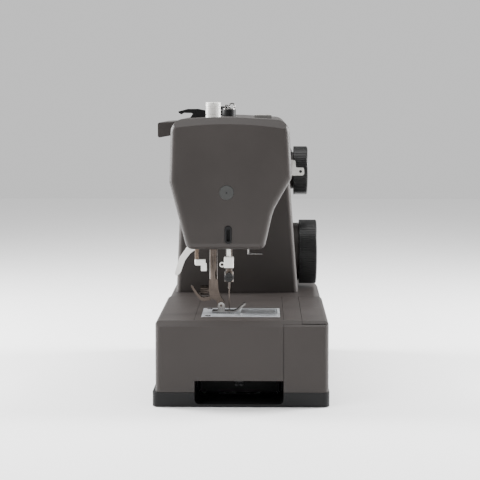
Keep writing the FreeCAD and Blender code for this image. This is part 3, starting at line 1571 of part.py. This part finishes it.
def carry_handle():
    # Folding handle: two deep arms on pins and a flat-sided grip behind the top.
    y = handle_y
    z = handle_z
    left, right = handle_arms
    pin_reach = 3.4
    solids = []
    for x in handle_arms:
        solids.append(prism_x([(y - 5.5, z - 5.5, 5), (y - 5.5, z + 7.0, 3), (handle_rear, z + 5.5, 2),
                               (handle_rear, z - 10, 2), (y + 24, z - 7.5, 6)], x, x + handle_arm_width))
        solids.append(rod_x(x - pin_reach, x + handle_arm_width + pin_reach, y, z, handle_pin_radius))
    grip = prism_x([(y + 25.5, z + 6.0, 2), (handle_rear, z + 5.5, 2), (handle_rear, z - 10, 2),
                    (y + 25.5, z - 7.7, 2)], left, right + handle_arm_width)
    return fuse([grip] + solids)


def handle_brackets():
    # Cheeks under the top cover that hold the handle's pins.
    thick = 3.4
    gap = 0.8
    half = 6.0
    made = []
    for x in handle_arms:
        for x0 in (x - gap - thick, x + handle_arm_width + gap):
            cheek = box(x0, x0 + thick, handle_y - half, handle_y + half, handle_z - 10.5, handle_z + half)
            made.append(cheek.cut(rod_x(x0 - over, x0 + thick + over, handle_y, handle_z,
                                        handle_pin_radius + running)))
    return Part.makeCompound(made)


# Power

def power_inlet():
    # Appliance inlet in the right end of the bed, with its flat contacts.
    x = bed_end_x
    y = inlet_y
    z = socket_z
    blade_half = 0.8
    flange = box(x, x + 1.6, y - 17, y + 17, z - 12, z + 12)
    body = box(x - 20, x, y - 14, y + 14, z - 9, z + 9)
    shell = fuse([flange, body]).cut(box(x - 17, x + 5, y - 12, y + 12, z - 7, z + 7))
    blades = []
    for shift in (-7.0, 0.0, 7.0):
        centre = y + shift
        blades.append(box(x - 18, x - 3, centre - blade_half, centre + blade_half, z - 2.4, z + 2.4))
    return fuse([shell] + blades)


def socket_cut(y, half_width, half_height):
    return box(bed_end_x - 20, side_cover_end_x + 5, y - half_width, y + half_width,
               socket_z - half_height, socket_z + half_height)


def rocker_pin_place():
    return bed_end_x - 4.0


def switch_frame():
    x = bed_end_x
    y = switch_y
    z = socket_z
    frame = fuse([box(x - 12, x, y - 8, y + 8, z - 12, z + 12),
                  box(x, x + 1.4, y - 10, y + 10, z - 14, z + 14)])
    frame = frame.cut(box(x - 9, x + 5, y - 6.4, y + 6.4, z - 10.4, z + 10.4))
    return frame.cut(rod_y(y - 7.4, y + 7.4, rocker_pin_place(), z, rocker_pin_radius + running))


def power_switch():
    # Rocker on a cross pin.
    x = bed_end_x
    y = switch_y
    z = socket_z
    rocker = prism_y([(x - 5.5, z - 4, 1), (x + 2.2, z - 9.2, 1), (x + 1.0, z, 20), (x + 2.2, z + 9.2, 1),
                      (x - 5.5, z + 4, 1)], y - 6.0, y + 6.0)
    return fuse([rocker, rod_y(y - 7.2, y + 7.2, rocker_pin_place(), z, rocker_pin_radius)])


def power_sockets():
    return Part.makeCompound([power_inlet(), switch_frame()])


# Groups of small fixed pieces

def fixing_screws():
    return Part.makeCompound(plate_screws().Solids + base_screws().Solids)


def thread_guides():
    return Part.makeCompound([wire_guide(), front_thread_guide(), winder_disc()])


def top_fittings():
    return Part.makeCompound([rear_thread_guide(), winder_tension(), winder_stop()])


def dial_bezels():
    return Part.makeCompound([selector_bezel(), length_dial_boss()])


def build():
    shell = casing_shell()
    return {
        "front_cover": front_cover(shell), "rear_cover": rear_cover(shell), "top_cover": top_cover(shell),
        "face_cover": face_cover(), "face_cap": face_cap(), "thread_cutter": thread_cutter(),
        "head_floor": head_floor(), "led_lamp": led_lamp(), "side_cover": side_cover(),
        "bed_cover": bed_cover(), "needle_plate": needle_plate(), "fixing_screws": fixing_screws(),
        "bobbin_cover": bobbin_cover(), "base_pan": base_pan(), "rubber_feet": rubber_feet(),
        "tray_body": tray_body(), "tray_door": tray_door(), "tray_base": tray_base(),
        "tray_latch": tray_latch(), "machine_frame": machine_frame(), "shaft_bushes": shaft_bushes(),
        "main_shaft": main_shaft(), "handwheel": handwheel(), "needle_link": needle_link(),
        "needle_bar": needle_bar(), "needle_clamp_screw": needle_clamp_screw(), "needle": needle(),
        "take_up_lever": take_up_lever(), "lower_shaft": lower_shaft(), "timing_belt": timing_belt(),
        "drive_belt": drive_belt(), "motor": motor(), "motor_rotor": motor_rotor(),
        "hook_ring": hook_ring(), "bobbin_case": bobbin_case(), "bobbin": bobbin(),
        "bobbin_thread": bobbin_thread(), "feed_dog": feed_dog(), "presser_bar": presser_bar(),
        "presser_spring": presser_spring(), "ankle": ankle(), "ankle_screw": ankle_screw(),
        "presser_foot": presser_foot(), "presser_lifter": presser_lifter(),
        "buttonhole_lever": buttonhole_lever(), "needle_threader": needle_threader(),
        "thread_guides": thread_guides(), "dial_bezels": dial_bezels(), "selector_dial": selector_dial(),
        "length_dial": length_dial(), "reverse_lever": reverse_lever(), "tension_wheel": tension_wheel(),
        "pressure_dial": pressure_dial(), "carry_handle": carry_handle(),
        "handle_brackets": handle_brackets(), "winder_spindle": winder_spindle(),
        "power_switch": power_switch(), "top_fittings": top_fittings(), "spool_pin": spool_pin(),
        "power_sockets": power_sockets(),
    }


def main():
    os.makedirs("parts", exist_ok=True)
    for name, shape in build().items():
        shape.exportStep("parts/" + name + ".step")


main()
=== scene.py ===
import bpy
import bmesh
import json
import math
from mathutils import Matrix, Vector


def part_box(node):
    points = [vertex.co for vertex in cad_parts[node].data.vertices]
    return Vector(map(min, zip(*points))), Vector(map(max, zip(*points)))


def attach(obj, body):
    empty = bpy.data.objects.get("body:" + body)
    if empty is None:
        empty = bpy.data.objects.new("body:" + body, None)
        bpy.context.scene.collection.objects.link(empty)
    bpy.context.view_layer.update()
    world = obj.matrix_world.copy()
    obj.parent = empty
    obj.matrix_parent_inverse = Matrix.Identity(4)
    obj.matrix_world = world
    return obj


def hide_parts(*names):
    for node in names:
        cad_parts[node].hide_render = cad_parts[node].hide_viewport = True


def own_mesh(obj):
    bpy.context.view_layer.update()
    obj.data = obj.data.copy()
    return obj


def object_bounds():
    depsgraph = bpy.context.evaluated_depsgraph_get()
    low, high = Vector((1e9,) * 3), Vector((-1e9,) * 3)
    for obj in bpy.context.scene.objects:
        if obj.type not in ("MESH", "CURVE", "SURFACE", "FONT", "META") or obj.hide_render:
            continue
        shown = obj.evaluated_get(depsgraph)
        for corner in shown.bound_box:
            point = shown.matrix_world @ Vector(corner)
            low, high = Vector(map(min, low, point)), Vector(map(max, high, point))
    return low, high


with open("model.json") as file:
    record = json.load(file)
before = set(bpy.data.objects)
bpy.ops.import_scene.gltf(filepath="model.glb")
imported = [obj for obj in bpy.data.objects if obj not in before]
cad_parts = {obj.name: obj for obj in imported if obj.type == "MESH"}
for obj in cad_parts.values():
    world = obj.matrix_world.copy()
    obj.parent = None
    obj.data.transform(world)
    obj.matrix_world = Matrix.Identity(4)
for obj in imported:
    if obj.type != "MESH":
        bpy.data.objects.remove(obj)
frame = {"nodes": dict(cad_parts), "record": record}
cadBounds = [list(v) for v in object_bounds()]
nodes = frame["nodes"]
print("frame loaded:", len(nodes), "nodes")


# small helpers for building shader trees

def newMaterial(name):
    mat = bpy.data.materials.new(name)
    mat.use_nodes = True
    tree = mat.node_tree
    shader = tree.nodes["Principled BSDF"]
    return mat, tree, shader


def addNode(tree, kind, **values):
    node = tree.nodes.new(kind)
    for key, value in values.items():
        if key in node.inputs:
            node.inputs[key].default_value = value
        else:
            setattr(node, key, value)
    return node


def objectCoords(tree, scale=(1, 1, 1)):
    coords = tree.nodes.new("ShaderNodeTexCoord")
    mapping = tree.nodes.new("ShaderNodeMapping")
    mapping.inputs["Scale"].default_value = scale
    tree.links.new(coords.outputs["Object"], mapping.inputs["Vector"])
    return mapping.outputs["Vector"]


def noiseOn(tree, vector, scale, detail=3.0, roughness=0.5):
    noise = addNode(tree, "ShaderNodeTexNoise", Scale=scale, Detail=detail, Roughness=roughness)
    tree.links.new(vector, noise.inputs["Vector"])
    return noise.outputs["Fac"]


def remap(tree, value, low, high, fromLow=0.3, fromHigh=0.7):
    node = tree.nodes.new("ShaderNodeMapRange")
    node.inputs["From Min"].default_value = fromLow
    node.inputs["From Max"].default_value = fromHigh
    node.inputs["To Min"].default_value = low
    node.inputs["To Max"].default_value = high
    tree.links.new(value, node.inputs["Value"])
    return node.outputs["Result"]


def twoTone(tree, factor, dark, light):
    ramp = tree.nodes.new("ShaderNodeValToRGB")
    ramp.color_ramp.elements[0].position = 0.3
    ramp.color_ramp.elements[1].position = 0.7
    ramp.color_ramp.elements[0].color = (*dark, 1)
    ramp.color_ramp.elements[1].color = (*light, 1)
    tree.links.new(factor, ramp.inputs["Fac"])
    return ramp.outputs["Color"]


def bumpFrom(tree, height, strength, distance):
    bump = addNode(tree, "ShaderNodeBump", Strength=strength, Distance=distance)
    tree.links.new(height, bump.inputs["Height"])
    return bump.outputs["Normal"]


# finishes

mouldedGrey = {
    "dark": (0.0225, 0.0187, 0.0171),
    "light": (0.0285, 0.0238, 0.0219),
    "grain": 2600.0,      # spark-eroded mould texture, cells per metre
    "cloud": 14.0,
    "roughLow": 0.44,
    "roughHigh": 0.54,
    "bump": 0.16,
    "gloss": 0.30,
}


# what all the moulded plastics share
plasticMake = {"ior": 1.47, "cloudDetail": 4.0, "grainDetail": 2.0, "grainRough": 0.6, "bumpDepth": 0.0002}


def plasticFinish(name, look):
    mat, tree, shader = newMaterial(name)
    spot = objectCoords(tree)
    cloud = noiseOn(tree, spot, look["cloud"], plasticMake["cloudDetail"])
    grain = noiseOn(tree, spot, look["grain"], plasticMake["grainDetail"], plasticMake["grainRough"])
    tree.links.new(twoTone(tree, cloud, look["dark"], look["light"]), shader.inputs["Base Color"])
    tree.links.new(remap(tree, cloud, look["roughLow"], look["roughHigh"]), shader.inputs["Roughness"])
    tree.links.new(bumpFrom(tree, grain, look["bump"], plasticMake["bumpDepth"]), shader.inputs["Normal"])
    shader.inputs["IOR"].default_value = plasticMake["ior"]
    shader.inputs["Specular IOR Level"].default_value = look["gloss"]
    return mat


baseBlack = {
    "dark": (0.005, 0.005, 0.0054),
    "light": (0.007, 0.007, 0.0074),
    "grain": 2200.0,
    "cloud": 16.0,
    "roughLow": 0.46,
    "roughHigh": 0.58,
    "bump": 0.2,
    "gloss": 0.22,
}

dialBlack = {
    "dark": (0.005, 0.005, 0.0053),
    "light": (0.007, 0.007, 0.0073),
    "grain": 3000.0,
    "cloud": 20.0,
    "roughLow": 0.32,
    "roughHigh": 0.42,
    "bump": 0.08,
    "gloss": 0.4,
}

leverWhite = {
    "dark": (0.70, 0.69, 0.66),
    "light": (0.78, 0.77, 0.74),
    "grain": 1800.0,
    "cloud": 22.0,
    "roughLow": 0.28,
    "roughHigh": 0.36,
    "bump": 0.05,
    "gloss": 0.5,
}

rubberBlack = {
    "dark": (0.014, 0.014, 0.014),
    "light": (0.022, 0.021, 0.021),
    "grain": 1500.0,
    "cloud": 25.0,
    "roughLow": 0.75,
    "roughHigh": 0.88,
    "bump": 0.3,
    "gloss": 0.3,
}

# painted reflection: this steel's tint and shade are kept very dark to stand in for the dark machine body
# that the bars mirror, not the steel's own colour
steelPaintedDarkReflection = {
    "tint": (0.098, 0.080, 0.069),
    "shade": (0.046, 0.038, 0.033),
    "roughLow": 0.14,
    "roughHigh": 0.28,
    "streak": (600.0, 40.0, 600.0),
}

brightSteel = {
    "tint": (0.72, 0.71, 0.68),
    "shade": (0.56, 0.55, 0.52),
    "roughLow": 0.16,
    "roughHigh": 0.28,
    "streak": (400.0, 40.0, 400.0),
}

plateSteel = {
    "tint": (0.80, 0.82, 0.85),
    "shade": (0.66, 0.68, 0.71),
    "roughLow": 0.38,
    "roughHigh": 0.50,
    "streak": (30.0, 900.0, 30.0),
}

castAlloy = {
    "tint": (0.46, 0.46, 0.47),
    "shade": (0.36, 0.36, 0.37),
    "roughLow": 0.42,
    "roughHigh": 0.6,
    "streak": (120.0, 120.0, 120.0),
}

bronzeSleeve = {
    "tint": (0.62, 0.42, 0.19),
    "shade": (0.45, 0.29, 0.12),
    "roughLow": 0.3,
    "roughHigh": 0.45,
    "streak": (200.0, 200.0, 200.0),
}


# what all the metals share
metalMake = {
    "streakDetail": 4.0,
    "streakRough": 0.6,
    "smear": 60.0,
    "smearDetail": 3.0,
    "bump": 0.06,
    "bumpDepth": 0.0001,
}


def metalFinish(name, look):
    mat, tree, shader = newMaterial(name)
    brushed = objectCoords(tree, look["streak"])
    spot = objectCoords(tree)
    streak = noiseOn(tree, brushed, 1.0, metalMake["streakDetail"], metalMake["streakRough"])
    smear = noiseOn(tree, spot, metalMake["smear"], metalMake["smearDetail"])
    tree.links.new(twoTone(tree, smear, look["shade"], look["tint"]), shader.inputs["Base Color"])
    tree.links.new(remap(tree, streak, look["roughLow"], look["roughHigh"]), shader.inputs["Roughness"])
    tree.links.new(bumpFrom(tree, streak, metalMake["bump"], metalMake["bumpDepth"]), shader.inputs["Normal"])
    shader.inputs["Metallic"].default_value = 1.0
    return mat


clearLook = {
    "colour": (0.88, 0.90, 0.92, 1),
    "passes": 0.92,        # share of the light that goes through
    "ior": 1.46,
    "haze": 90.0,
    "roughLow": 0.04,
    "roughHigh": 0.10,
}


def clearFinish(name):
    mat, tree, shader = newMaterial(name)
    haze = noiseOn(tree, objectCoords(tree), clearLook["haze"])
    rough = remap(tree, haze, clearLook["roughLow"], clearLook["roughHigh"])
    tree.links.new(rough, shader.inputs["Roughness"])
    shader.inputs["Base Color"].default_value = clearLook["colour"]
    shader.inputs["Transmission Weight"].default_value = clearLook["passes"]
    shader.inputs["IOR"].default_value = clearLook["ior"]
    return mat


threadLook = {
    "dark": (0.40, 0.05, 0.05),
    "light": (0.58, 0.10, 0.09),
    "bands": 450.0,        # wound turns up the bobbin
    "waver": 1.2,
    "bump": 0.5,
    "bumpDepth": 0.0002,
    "rough": 0.7,
    "sheen": 0.4,
}


def threadFinish(name):
    mat, tree, shader = newMaterial(name)
    spot = objectCoords(tree)
    wave = addNode(tree, "ShaderNodeTexWave", Scale=threadLook["bands"], Distortion=threadLook["waver"])
    wave.bands_direction = "Z"
    tree.links.new(spot, wave.inputs["Vector"])
    turns = wave.outputs["Fac"]
    colour = twoTone(tree, turns, threadLook["dark"], threadLook["light"])
    ridges = bumpFrom(tree, turns, threadLook["bump"], threadLook["bumpDepth"])
    tree.links.new(colour, shader.inputs["Base Color"])
    tree.links.new(ridges, shader.inputs["Normal"])
    shader.inputs["Roughness"].default_value = threadLook["rough"]
    shader.inputs["Sheen Weight"].default_value = threadLook["sheen"]
    return mat


hookCase = dict(dialBlack, bump=0.12)
motorCan = dict(castAlloy, tint=(0.20, 0.20, 0.21), shade=(0.14, 0.14, 0.15))

finishes = {
    "body_grey": plasticFinish("mouldedGrey", mouldedGrey),
    "base_black": plasticFinish("baseBlack", baseBlack),
    "dial_black": plasticFinish("dialBlack", dialBlack),
    "lever_white": plasticFinish("leverWhite", leverWhite),
    "rubber": plasticFinish("rubberBlack", rubberBlack),
    "case_plastic": plasticFinish("hookCaseBlack", hookCase),
    # the steel slot gets the steel whose very dark colour is painted reflection of the machine body
    "steel": metalFinish("steelPaintedDarkReflection", steelPaintedDarkReflection),
    "cast_metal": metalFinish("castAlloy", castAlloy),
    "motor_can": metalFinish("motorCan", motorCan),
    "bronze": metalFinish("bronzeSleeve", bronzeSleeve),
    "clear": clearFinish("clearPlastic"),
    "thread": threadFinish("woundThread"),
}


# a white finger tip on a brown steel rod, parted at one height

rodAndTip = {
    "parting": 0.1391,
    "blur": 0.0004,
    "rod": (0.12, 0.09, 0.07),
    "tip": (0.76, 0.75, 0.72),
    "wear": 300.0,
    "roughLow": 0.24,
    "roughHigh": 0.36,
}


def rodAndTipFinish(name):
    mat, tree, shader = newMaterial(name)
    spot = objectCoords(tree)
    split = tree.nodes.new("ShaderNodeSeparateXYZ")
    tree.links.new(spot, split.inputs["Vector"])
    low = rodAndTip["parting"] - rodAndTip["blur"]
    high = rodAndTip["parting"] + rodAndTip["blur"]
    above = remap(tree, split.outputs["Z"], 0.0, 1.0, low, high)
    wear = noiseOn(tree, spot, rodAndTip["wear"])
    rough = remap(tree, wear, rodAndTip["roughLow"], rodAndTip["roughHigh"])
    tree.links.new(twoTone(tree, above, rodAndTip["tip"], rodAndTip["rod"]), shader.inputs["Base Color"])
    tree.links.new(above, shader.inputs["Metallic"])
    tree.links.new(rough, shader.inputs["Roughness"])
    return mat


# nodes that look unlike the rest of their slot

capGrey = dict(mouldedGrey, dark=(0.030, 0.031, 0.030), light=(0.038, 0.039, 0.038))
latchGrey = dict(baseBlack, dark=(0.050, 0.050, 0.052), light=(0.064, 0.064, 0.067))
footSteel = dict(brightSteel, tint=(0.36, 0.35, 0.34), shade=(0.15, 0.145, 0.14))
platedNodes = ("presser_foot", "fixing_screws", "feed_dog", "hook_ring", "thread_guides")

ownFinish = {
    "needle_plate": metalFinish("plateSteel", plateSteel),
    "take_up_lever": metalFinish("brightSteel", brightSteel),
    "buttonhole_lever": rodAndTipFinish("rodAndTip"),
    "face_cap": plasticFinish("capGrey", capGrey),
    "tray_latch": plasticFinish("latchGrey", latchGrey),
}
ownFinish.update(dict.fromkeys(platedNodes, metalFinish("footSteel", footSteel)))
print("finishes ready")


# every node of the frame takes the finish of its slot

def dressNodes():
    slots = {s["node"]: s["material_slot"] for s in frame["record"]["subparts"]}
    for name, node in nodes.items():
        mat = ownFinish.get(name, finishes[slots[name]])
        node.data.materials.clear()
        node.data.materials.append(mat)


dressNodes()
print("nodes dressed")


# geometry node trees for marks and ribs that repeat

def nodeGroup(name, inputs):
    group = bpy.data.node_groups.new(name, "GeometryNodeTree")
    for label, kind, value in inputs:
        socket = group.interface.new_socket(label, in_out="INPUT", socket_type=kind)
        if value is not None:
            socket.default_value = value
    group.interface.new_socket("Geometry", in_out="OUTPUT", socket_type="NodeSocketGeometry")
    return group, group.nodes.new("NodeGroupInput"), group.nodes.new("NodeGroupOutput")


def finishTree(group, geometry, source, target):
    realize = group.nodes.new("GeometryNodeRealizeInstances")
    paint = group.nodes.new("GeometryNodeSetMaterial")
    group.links.new(geometry, realize.inputs["Geometry"])
    group.links.new(realize.outputs["Geometry"], paint.inputs["Geometry"])
    group.links.new(source.outputs["Material"], paint.inputs["Material"])
    group.links.new(paint.outputs["Geometry"], target.inputs["Geometry"])


def ringOfMarksTree():
    group, source, target = nodeGroup("ringOfMarks", [
        ("Count", "NodeSocketInt", 12), ("Radius", "NodeSocketFloat", 0.03),
        ("Size", "NodeSocketVector", None), ("Material", "NodeSocketMaterial", None)])
    circle = group.nodes.new("GeometryNodeMeshCircle")
    mark = group.nodes.new("GeometryNodeMeshCube")
    place = group.nodes.new("GeometryNodeInstanceOnPoints")
    where = group.nodes.new("GeometryNodeInputPosition")
    turn = group.nodes.new("FunctionNodeAlignRotationToVector")
    turn.axis = "X"
    turn.pivot_axis = "Z"
    group.links.new(source.outputs["Count"], circle.inputs["Vertices"])
    group.links.new(source.outputs["Radius"], circle.inputs["Radius"])
    group.links.new(source.outputs["Size"], mark.inputs["Size"])
    group.links.new(where.outputs["Position"], turn.inputs["Vector"])
    group.links.new(circle.outputs["Mesh"], place.inputs["Points"])
    group.links.new(mark.outputs["Mesh"], place.inputs["Instance"])
    group.links.new(turn.outputs["Rotation"], place.inputs["Rotation"])
    finishTree(group, place.outputs["Instances"], source, target)
    return group


def rowOfRibsTree():
    group, source, target = nodeGroup("rowOfRibs", [
        ("Count", "NodeSocketInt", 8), ("Pitch", "NodeSocketFloat", 0.006),
        ("Length", "NodeSocketFloat", 0.05), ("Width", "NodeSocketFloat", 0.002),
        ("Sides", "NodeSocketInt", 12), ("Material", "NodeSocketMaterial", None)])
    line = group.nodes.new("GeometryNodeMeshLine")
    step = group.nodes.new("ShaderNodeCombineXYZ")
    rail = group.nodes.new("GeometryNodeCurvePrimitiveLine")
    end = group.nodes.new("ShaderNodeCombineXYZ")
    section = group.nodes.new("GeometryNodeCurvePrimitiveCircle")
    group.links.new(source.outputs["Sides"], section.inputs["Resolution"])
    tube = group.nodes.new("GeometryNodeCurveToMesh")
    tube.inputs["Fill Caps"].default_value = True
    place = group.nodes.new("GeometryNodeInstanceOnPoints")
    half = group.nodes.new("ShaderNodeMath")
    half.operation = "MULTIPLY"
    half.inputs[1].default_value = 0.5
    group.links.new(source.outputs["Pitch"], step.inputs["Y"])
    group.links.new(source.outputs["Count"], line.inputs["Count"])
    group.links.new(step.outputs["Vector"], line.inputs["Offset"])
    group.links.new(source.outputs["Length"], end.inputs["X"])
    group.links.new(end.outputs["Vector"], rail.inputs["End"])
    group.links.new(source.outputs["Width"], half.inputs[0])
    group.links.new(half.outputs["Value"], section.inputs["Radius"])
    group.links.new(rail.outputs["Curve"], tube.inputs["Curve"])
    group.links.new(section.outputs["Curve"], tube.inputs["Profile Curve"])
    group.links.new(line.outputs["Mesh"], place.inputs["Points"])
    group.links.new(tube.outputs["Mesh"], place.inputs["Instance"])
    finishTree(group, place.outputs["Instances"], source, target)
    return group


def grownMesh(name, tree, values, placing):
    seedMesh = bpy.data.meshes.new(name + "Seed")
    holder = bpy.data.objects.new(name + "Holder", seedMesh)
    bpy.context.collection.objects.link(holder)
    modifier = holder.modifiers.new("grow", "NODES")
    modifier.node_group = tree
    for item in tree.interface.items_tree:
        if item.in_out == "INPUT" and item.name in values:
            modifier[item.identifier] = values[item.name]
    bpy.context.view_layer.update()
    deps = bpy.context.evaluated_depsgraph_get()
    mesh = bpy.data.meshes.new_from_object(holder.evaluated_get(deps), depsgraph=deps)
    bpy.data.objects.remove(holder)
    mesh.transform(placing)
    piece = bpy.data.objects.new(name, mesh)
    bpy.context.collection.objects.link(piece)
    return piece


# marks and numbers on the dials

def facing(place):
    # turns a flat drawing to face the operator, at place
    return Matrix.Translation(place) @ Matrix.Rotation(math.radians(90), 4, "X")


# the numbers start at first and stand on some of the places round the dial
dialMarks = {
    "selector_dial": {"body": "selector", "count": 24, "radius": 0.0315, "size": (0.0034, 0.0008, 0.0004),
                      "numbers": 12, "first": 1, "places": 12, "numberRadius": 0.0262, "height": 0.0050},
    "length_dial": {"body": "length", "count": 20, "radius": 0.0232, "size": (0.0026, 0.0007, 0.0004),
                    "numbers": 5, "first": 0, "places": 6, "numberRadius": 0.0178, "height": 0.0052},
}
numeralLook = {"sizePerHeight": 1.4, "raised": 0.00012, "smooth": 3}


def dialCentre(node):
    low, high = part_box(node)
    return Vector(((low.x + high.x) / 2, low.y, (low.z + high.z) / 2))


def numberMesh(text, height, placing):
    curve = bpy.data.curves.new("numeral", "FONT")
    curve.body = text
    curve.size = height * numeralLook["sizePerHeight"]
    curve.align_x = "CENTER"
    curve.align_y = "CENTER"
    curve.extrude = numeralLook["raised"]
    curve.resolution_u = numeralLook["smooth"]
    holder = bpy.data.objects.new("numeralHolder", curve)
    bpy.context.collection.objects.link(holder)
    bpy.context.view_layer.update()
    deps = bpy.context.evaluated_depsgraph_get()
    mesh = bpy.data.meshes.new_from_object(holder.evaluated_get(deps), depsgraph=deps)
    bpy.data.objects.remove(holder)
    mesh.transform(placing)
    return mesh


def joinMeshes(name, meshes, mat):
    work = bmesh.new()
    for mesh in meshes:
        work.from_mesh(mesh)
    joined = bpy.data.meshes.new(name)
    work.to_mesh(joined)
    work.free()
    joined.materials.clear()
    joined.materials.append(mat)
    piece = bpy.data.objects.new(name, joined)
    bpy.context.collection.objects.link(piece)
    return piece


def markDials():
    tree = ringOfMarksTree()
    for node, look in dialMarks.items():
        centre = dialCentre(node)
        ring = grownMesh(node + "_marks", tree, {
            "Count": look["count"], "Radius": look["radius"], "Size": look["size"],
            "Material": finishes["lever_white"]}, facing(centre))
        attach(ring, look["body"])
        meshes = []
        for i in range(look["numbers"]):
            turn = math.radians(90 - 360 * i / look["places"])
            spot = centre + Vector((math.cos(turn), 0, math.sin(turn))) * look["numberRadius"]
            meshes.append(numberMesh(str(look["first"] + i), look["height"], facing(spot)))
        numerals = joinMeshes(node + "_numbers", meshes, finishes["lever_white"])
        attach(numerals, look["body"])


markDials()
print("dials marked")


# raised vent ribs on the rear of the pillar

ventRibs = {
    "count": 9,
    "pitch": 0.0062,
    "length": 0.058,
    "width": 0.0030,
    "sides": 12,
    "sink": 0.0006,
    "left": 0.075,
    "rise": 0.1005,
    "foot": 0.084,        # height at which the leaning wall is widest
    "lean": 2.497,        # degrees
}


def addVentRibs():
    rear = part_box("rear_cover")[1].y
    lean = math.radians(ventRibs["lean"])
    inward = math.tan(lean) * (ventRibs["rise"] - ventRibs["foot"]) + ventRibs["sink"]
    start = Vector((ventRibs["left"], rear - inward, ventRibs["rise"]))
    placing = Matrix.Translation(start) @ Matrix.Rotation(math.radians(90) + lean, 4, "X")
    ribs = grownMesh("rear_vent_ribs", rowOfRibsTree(), {
        "Count": ventRibs["count"], "Pitch": ventRibs["pitch"], "Length": ventRibs["length"],
        "Width": ventRibs["width"], "Sides": ventRibs["sides"],
        "Material": finishes["body_grey"]}, placing)
    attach(ribs, "machine")


addVentRibs()
print("vent ribs added")


# the presser spring's mesh is copied onto the presser body in place of its frame node


def addSpring():
    coil = bpy.data.objects.new("presser_coil", nodes["presser_spring"].data.copy())
    bpy.context.collection.objects.link(coil)
    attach(coil, "presser")
    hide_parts("presser_spring")
    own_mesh(coil)


addSpring()
print("spring added")


# floor, light and camera

stageLook = {
    "floorSize": 6.0,
    "floorColour": (0.95, 0.95, 0.95, 1),
    "floorRough": 0.7,
    "worldColour": (1, 1, 1, 1),
    "worldStrength": 0.8,
}

studioLights = {
    "keyLight": {"place": (-1.2, 1.1, 1.3), "aim": (-0.1, 0, 0.15), "power": 20.0, "size": 1.0},
    "fillLight": {"place": (-1.3, -1.5, 0.9), "aim": (-0.1, 0, 0.15), "power": 5.0, "size": 1.2},
    "topLight": {"place": (0.1, 0.1, 1.8), "aim": (0, 0, 0.2), "power": 24.0, "size": 1.4},
    "rearRim": {"place": (0.25, 1.1, 0.55), "aim": (-0.15, 0, 0.2), "power": 48.0, "size": 0.5},
    "frontRim": {"place": (0.25, -1.1, 0.55), "aim": (-0.15, 0, 0.2), "power": 48.0, "size": 0.5},
}


def makeFloor():
    bpy.ops.mesh.primitive_plane_add(size=stageLook["floorSize"], location=(0, 0, 0))
    floor = bpy.context.object
    floor.name = "studioFloor"
    mat, tree, shader = newMaterial("paleFloor")
    shader.inputs["Base Color"].default_value = stageLook["floorColour"]
    shader.inputs["Roughness"].default_value = stageLook["floorRough"]
    floor.data.materials.append(mat)


def areaLight(name, look):
    data = bpy.data.lights.new(name, "AREA")
    data.energy = look["power"]
    data.size = look["size"]
    lamp = bpy.data.objects.new(name, data)
    bpy.context.collection.objects.link(lamp)
    lamp.location = look["place"]
    lamp.rotation_euler = (Vector(look["aim"]) - Vector(look["place"])).to_track_quat("-Z", "Y").to_euler()


def makeLights():
    world = bpy.data.worlds.new("softStudio")
    world.use_nodes = True
    sky = world.node_tree.nodes["Background"]
    sky.inputs["Color"].default_value = stageLook["worldColour"]
    sky.inputs["Strength"].default_value = stageLook["worldStrength"]
    bpy.context.scene.world = world
    for name, look in studioLights.items():
        areaLight(name, look)


cameraPlace = {
    "back": 1.45,          # metres from the needle end
    "side": -0.025,
    "height": 0.2947,
    "lens": 113.9,
    "sensor": 36.0,
    "pitch": 5.19,         # degrees down
    "yaw": 1.02,           # degrees towards the rear
}


def makeCamera():
    data = bpy.data.cameras.new("photoCamera")
    data.lens = cameraPlace["lens"]
    data.sensor_width = cameraPlace["sensor"]
    camera = bpy.data.objects.new("photoCamera", data)
    bpy.context.collection.objects.link(camera)
    camera.location = (cadBounds[0][0] - cameraPlace["back"], cameraPlace["side"], cameraPlace["height"])
    pitch = math.radians(cameraPlace["pitch"])
    yaw = math.radians(cameraPlace["yaw"])
    look = Vector((math.cos(pitch) * math.cos(yaw), math.cos(pitch) * math.sin(yaw), -math.sin(pitch)))
    camera.rotation_euler = look.to_track_quat("-Z", "Y").to_euler()
    bpy.context.scene.camera = camera


makeFloor()
makeLights()
makeCamera()
print("stage set")
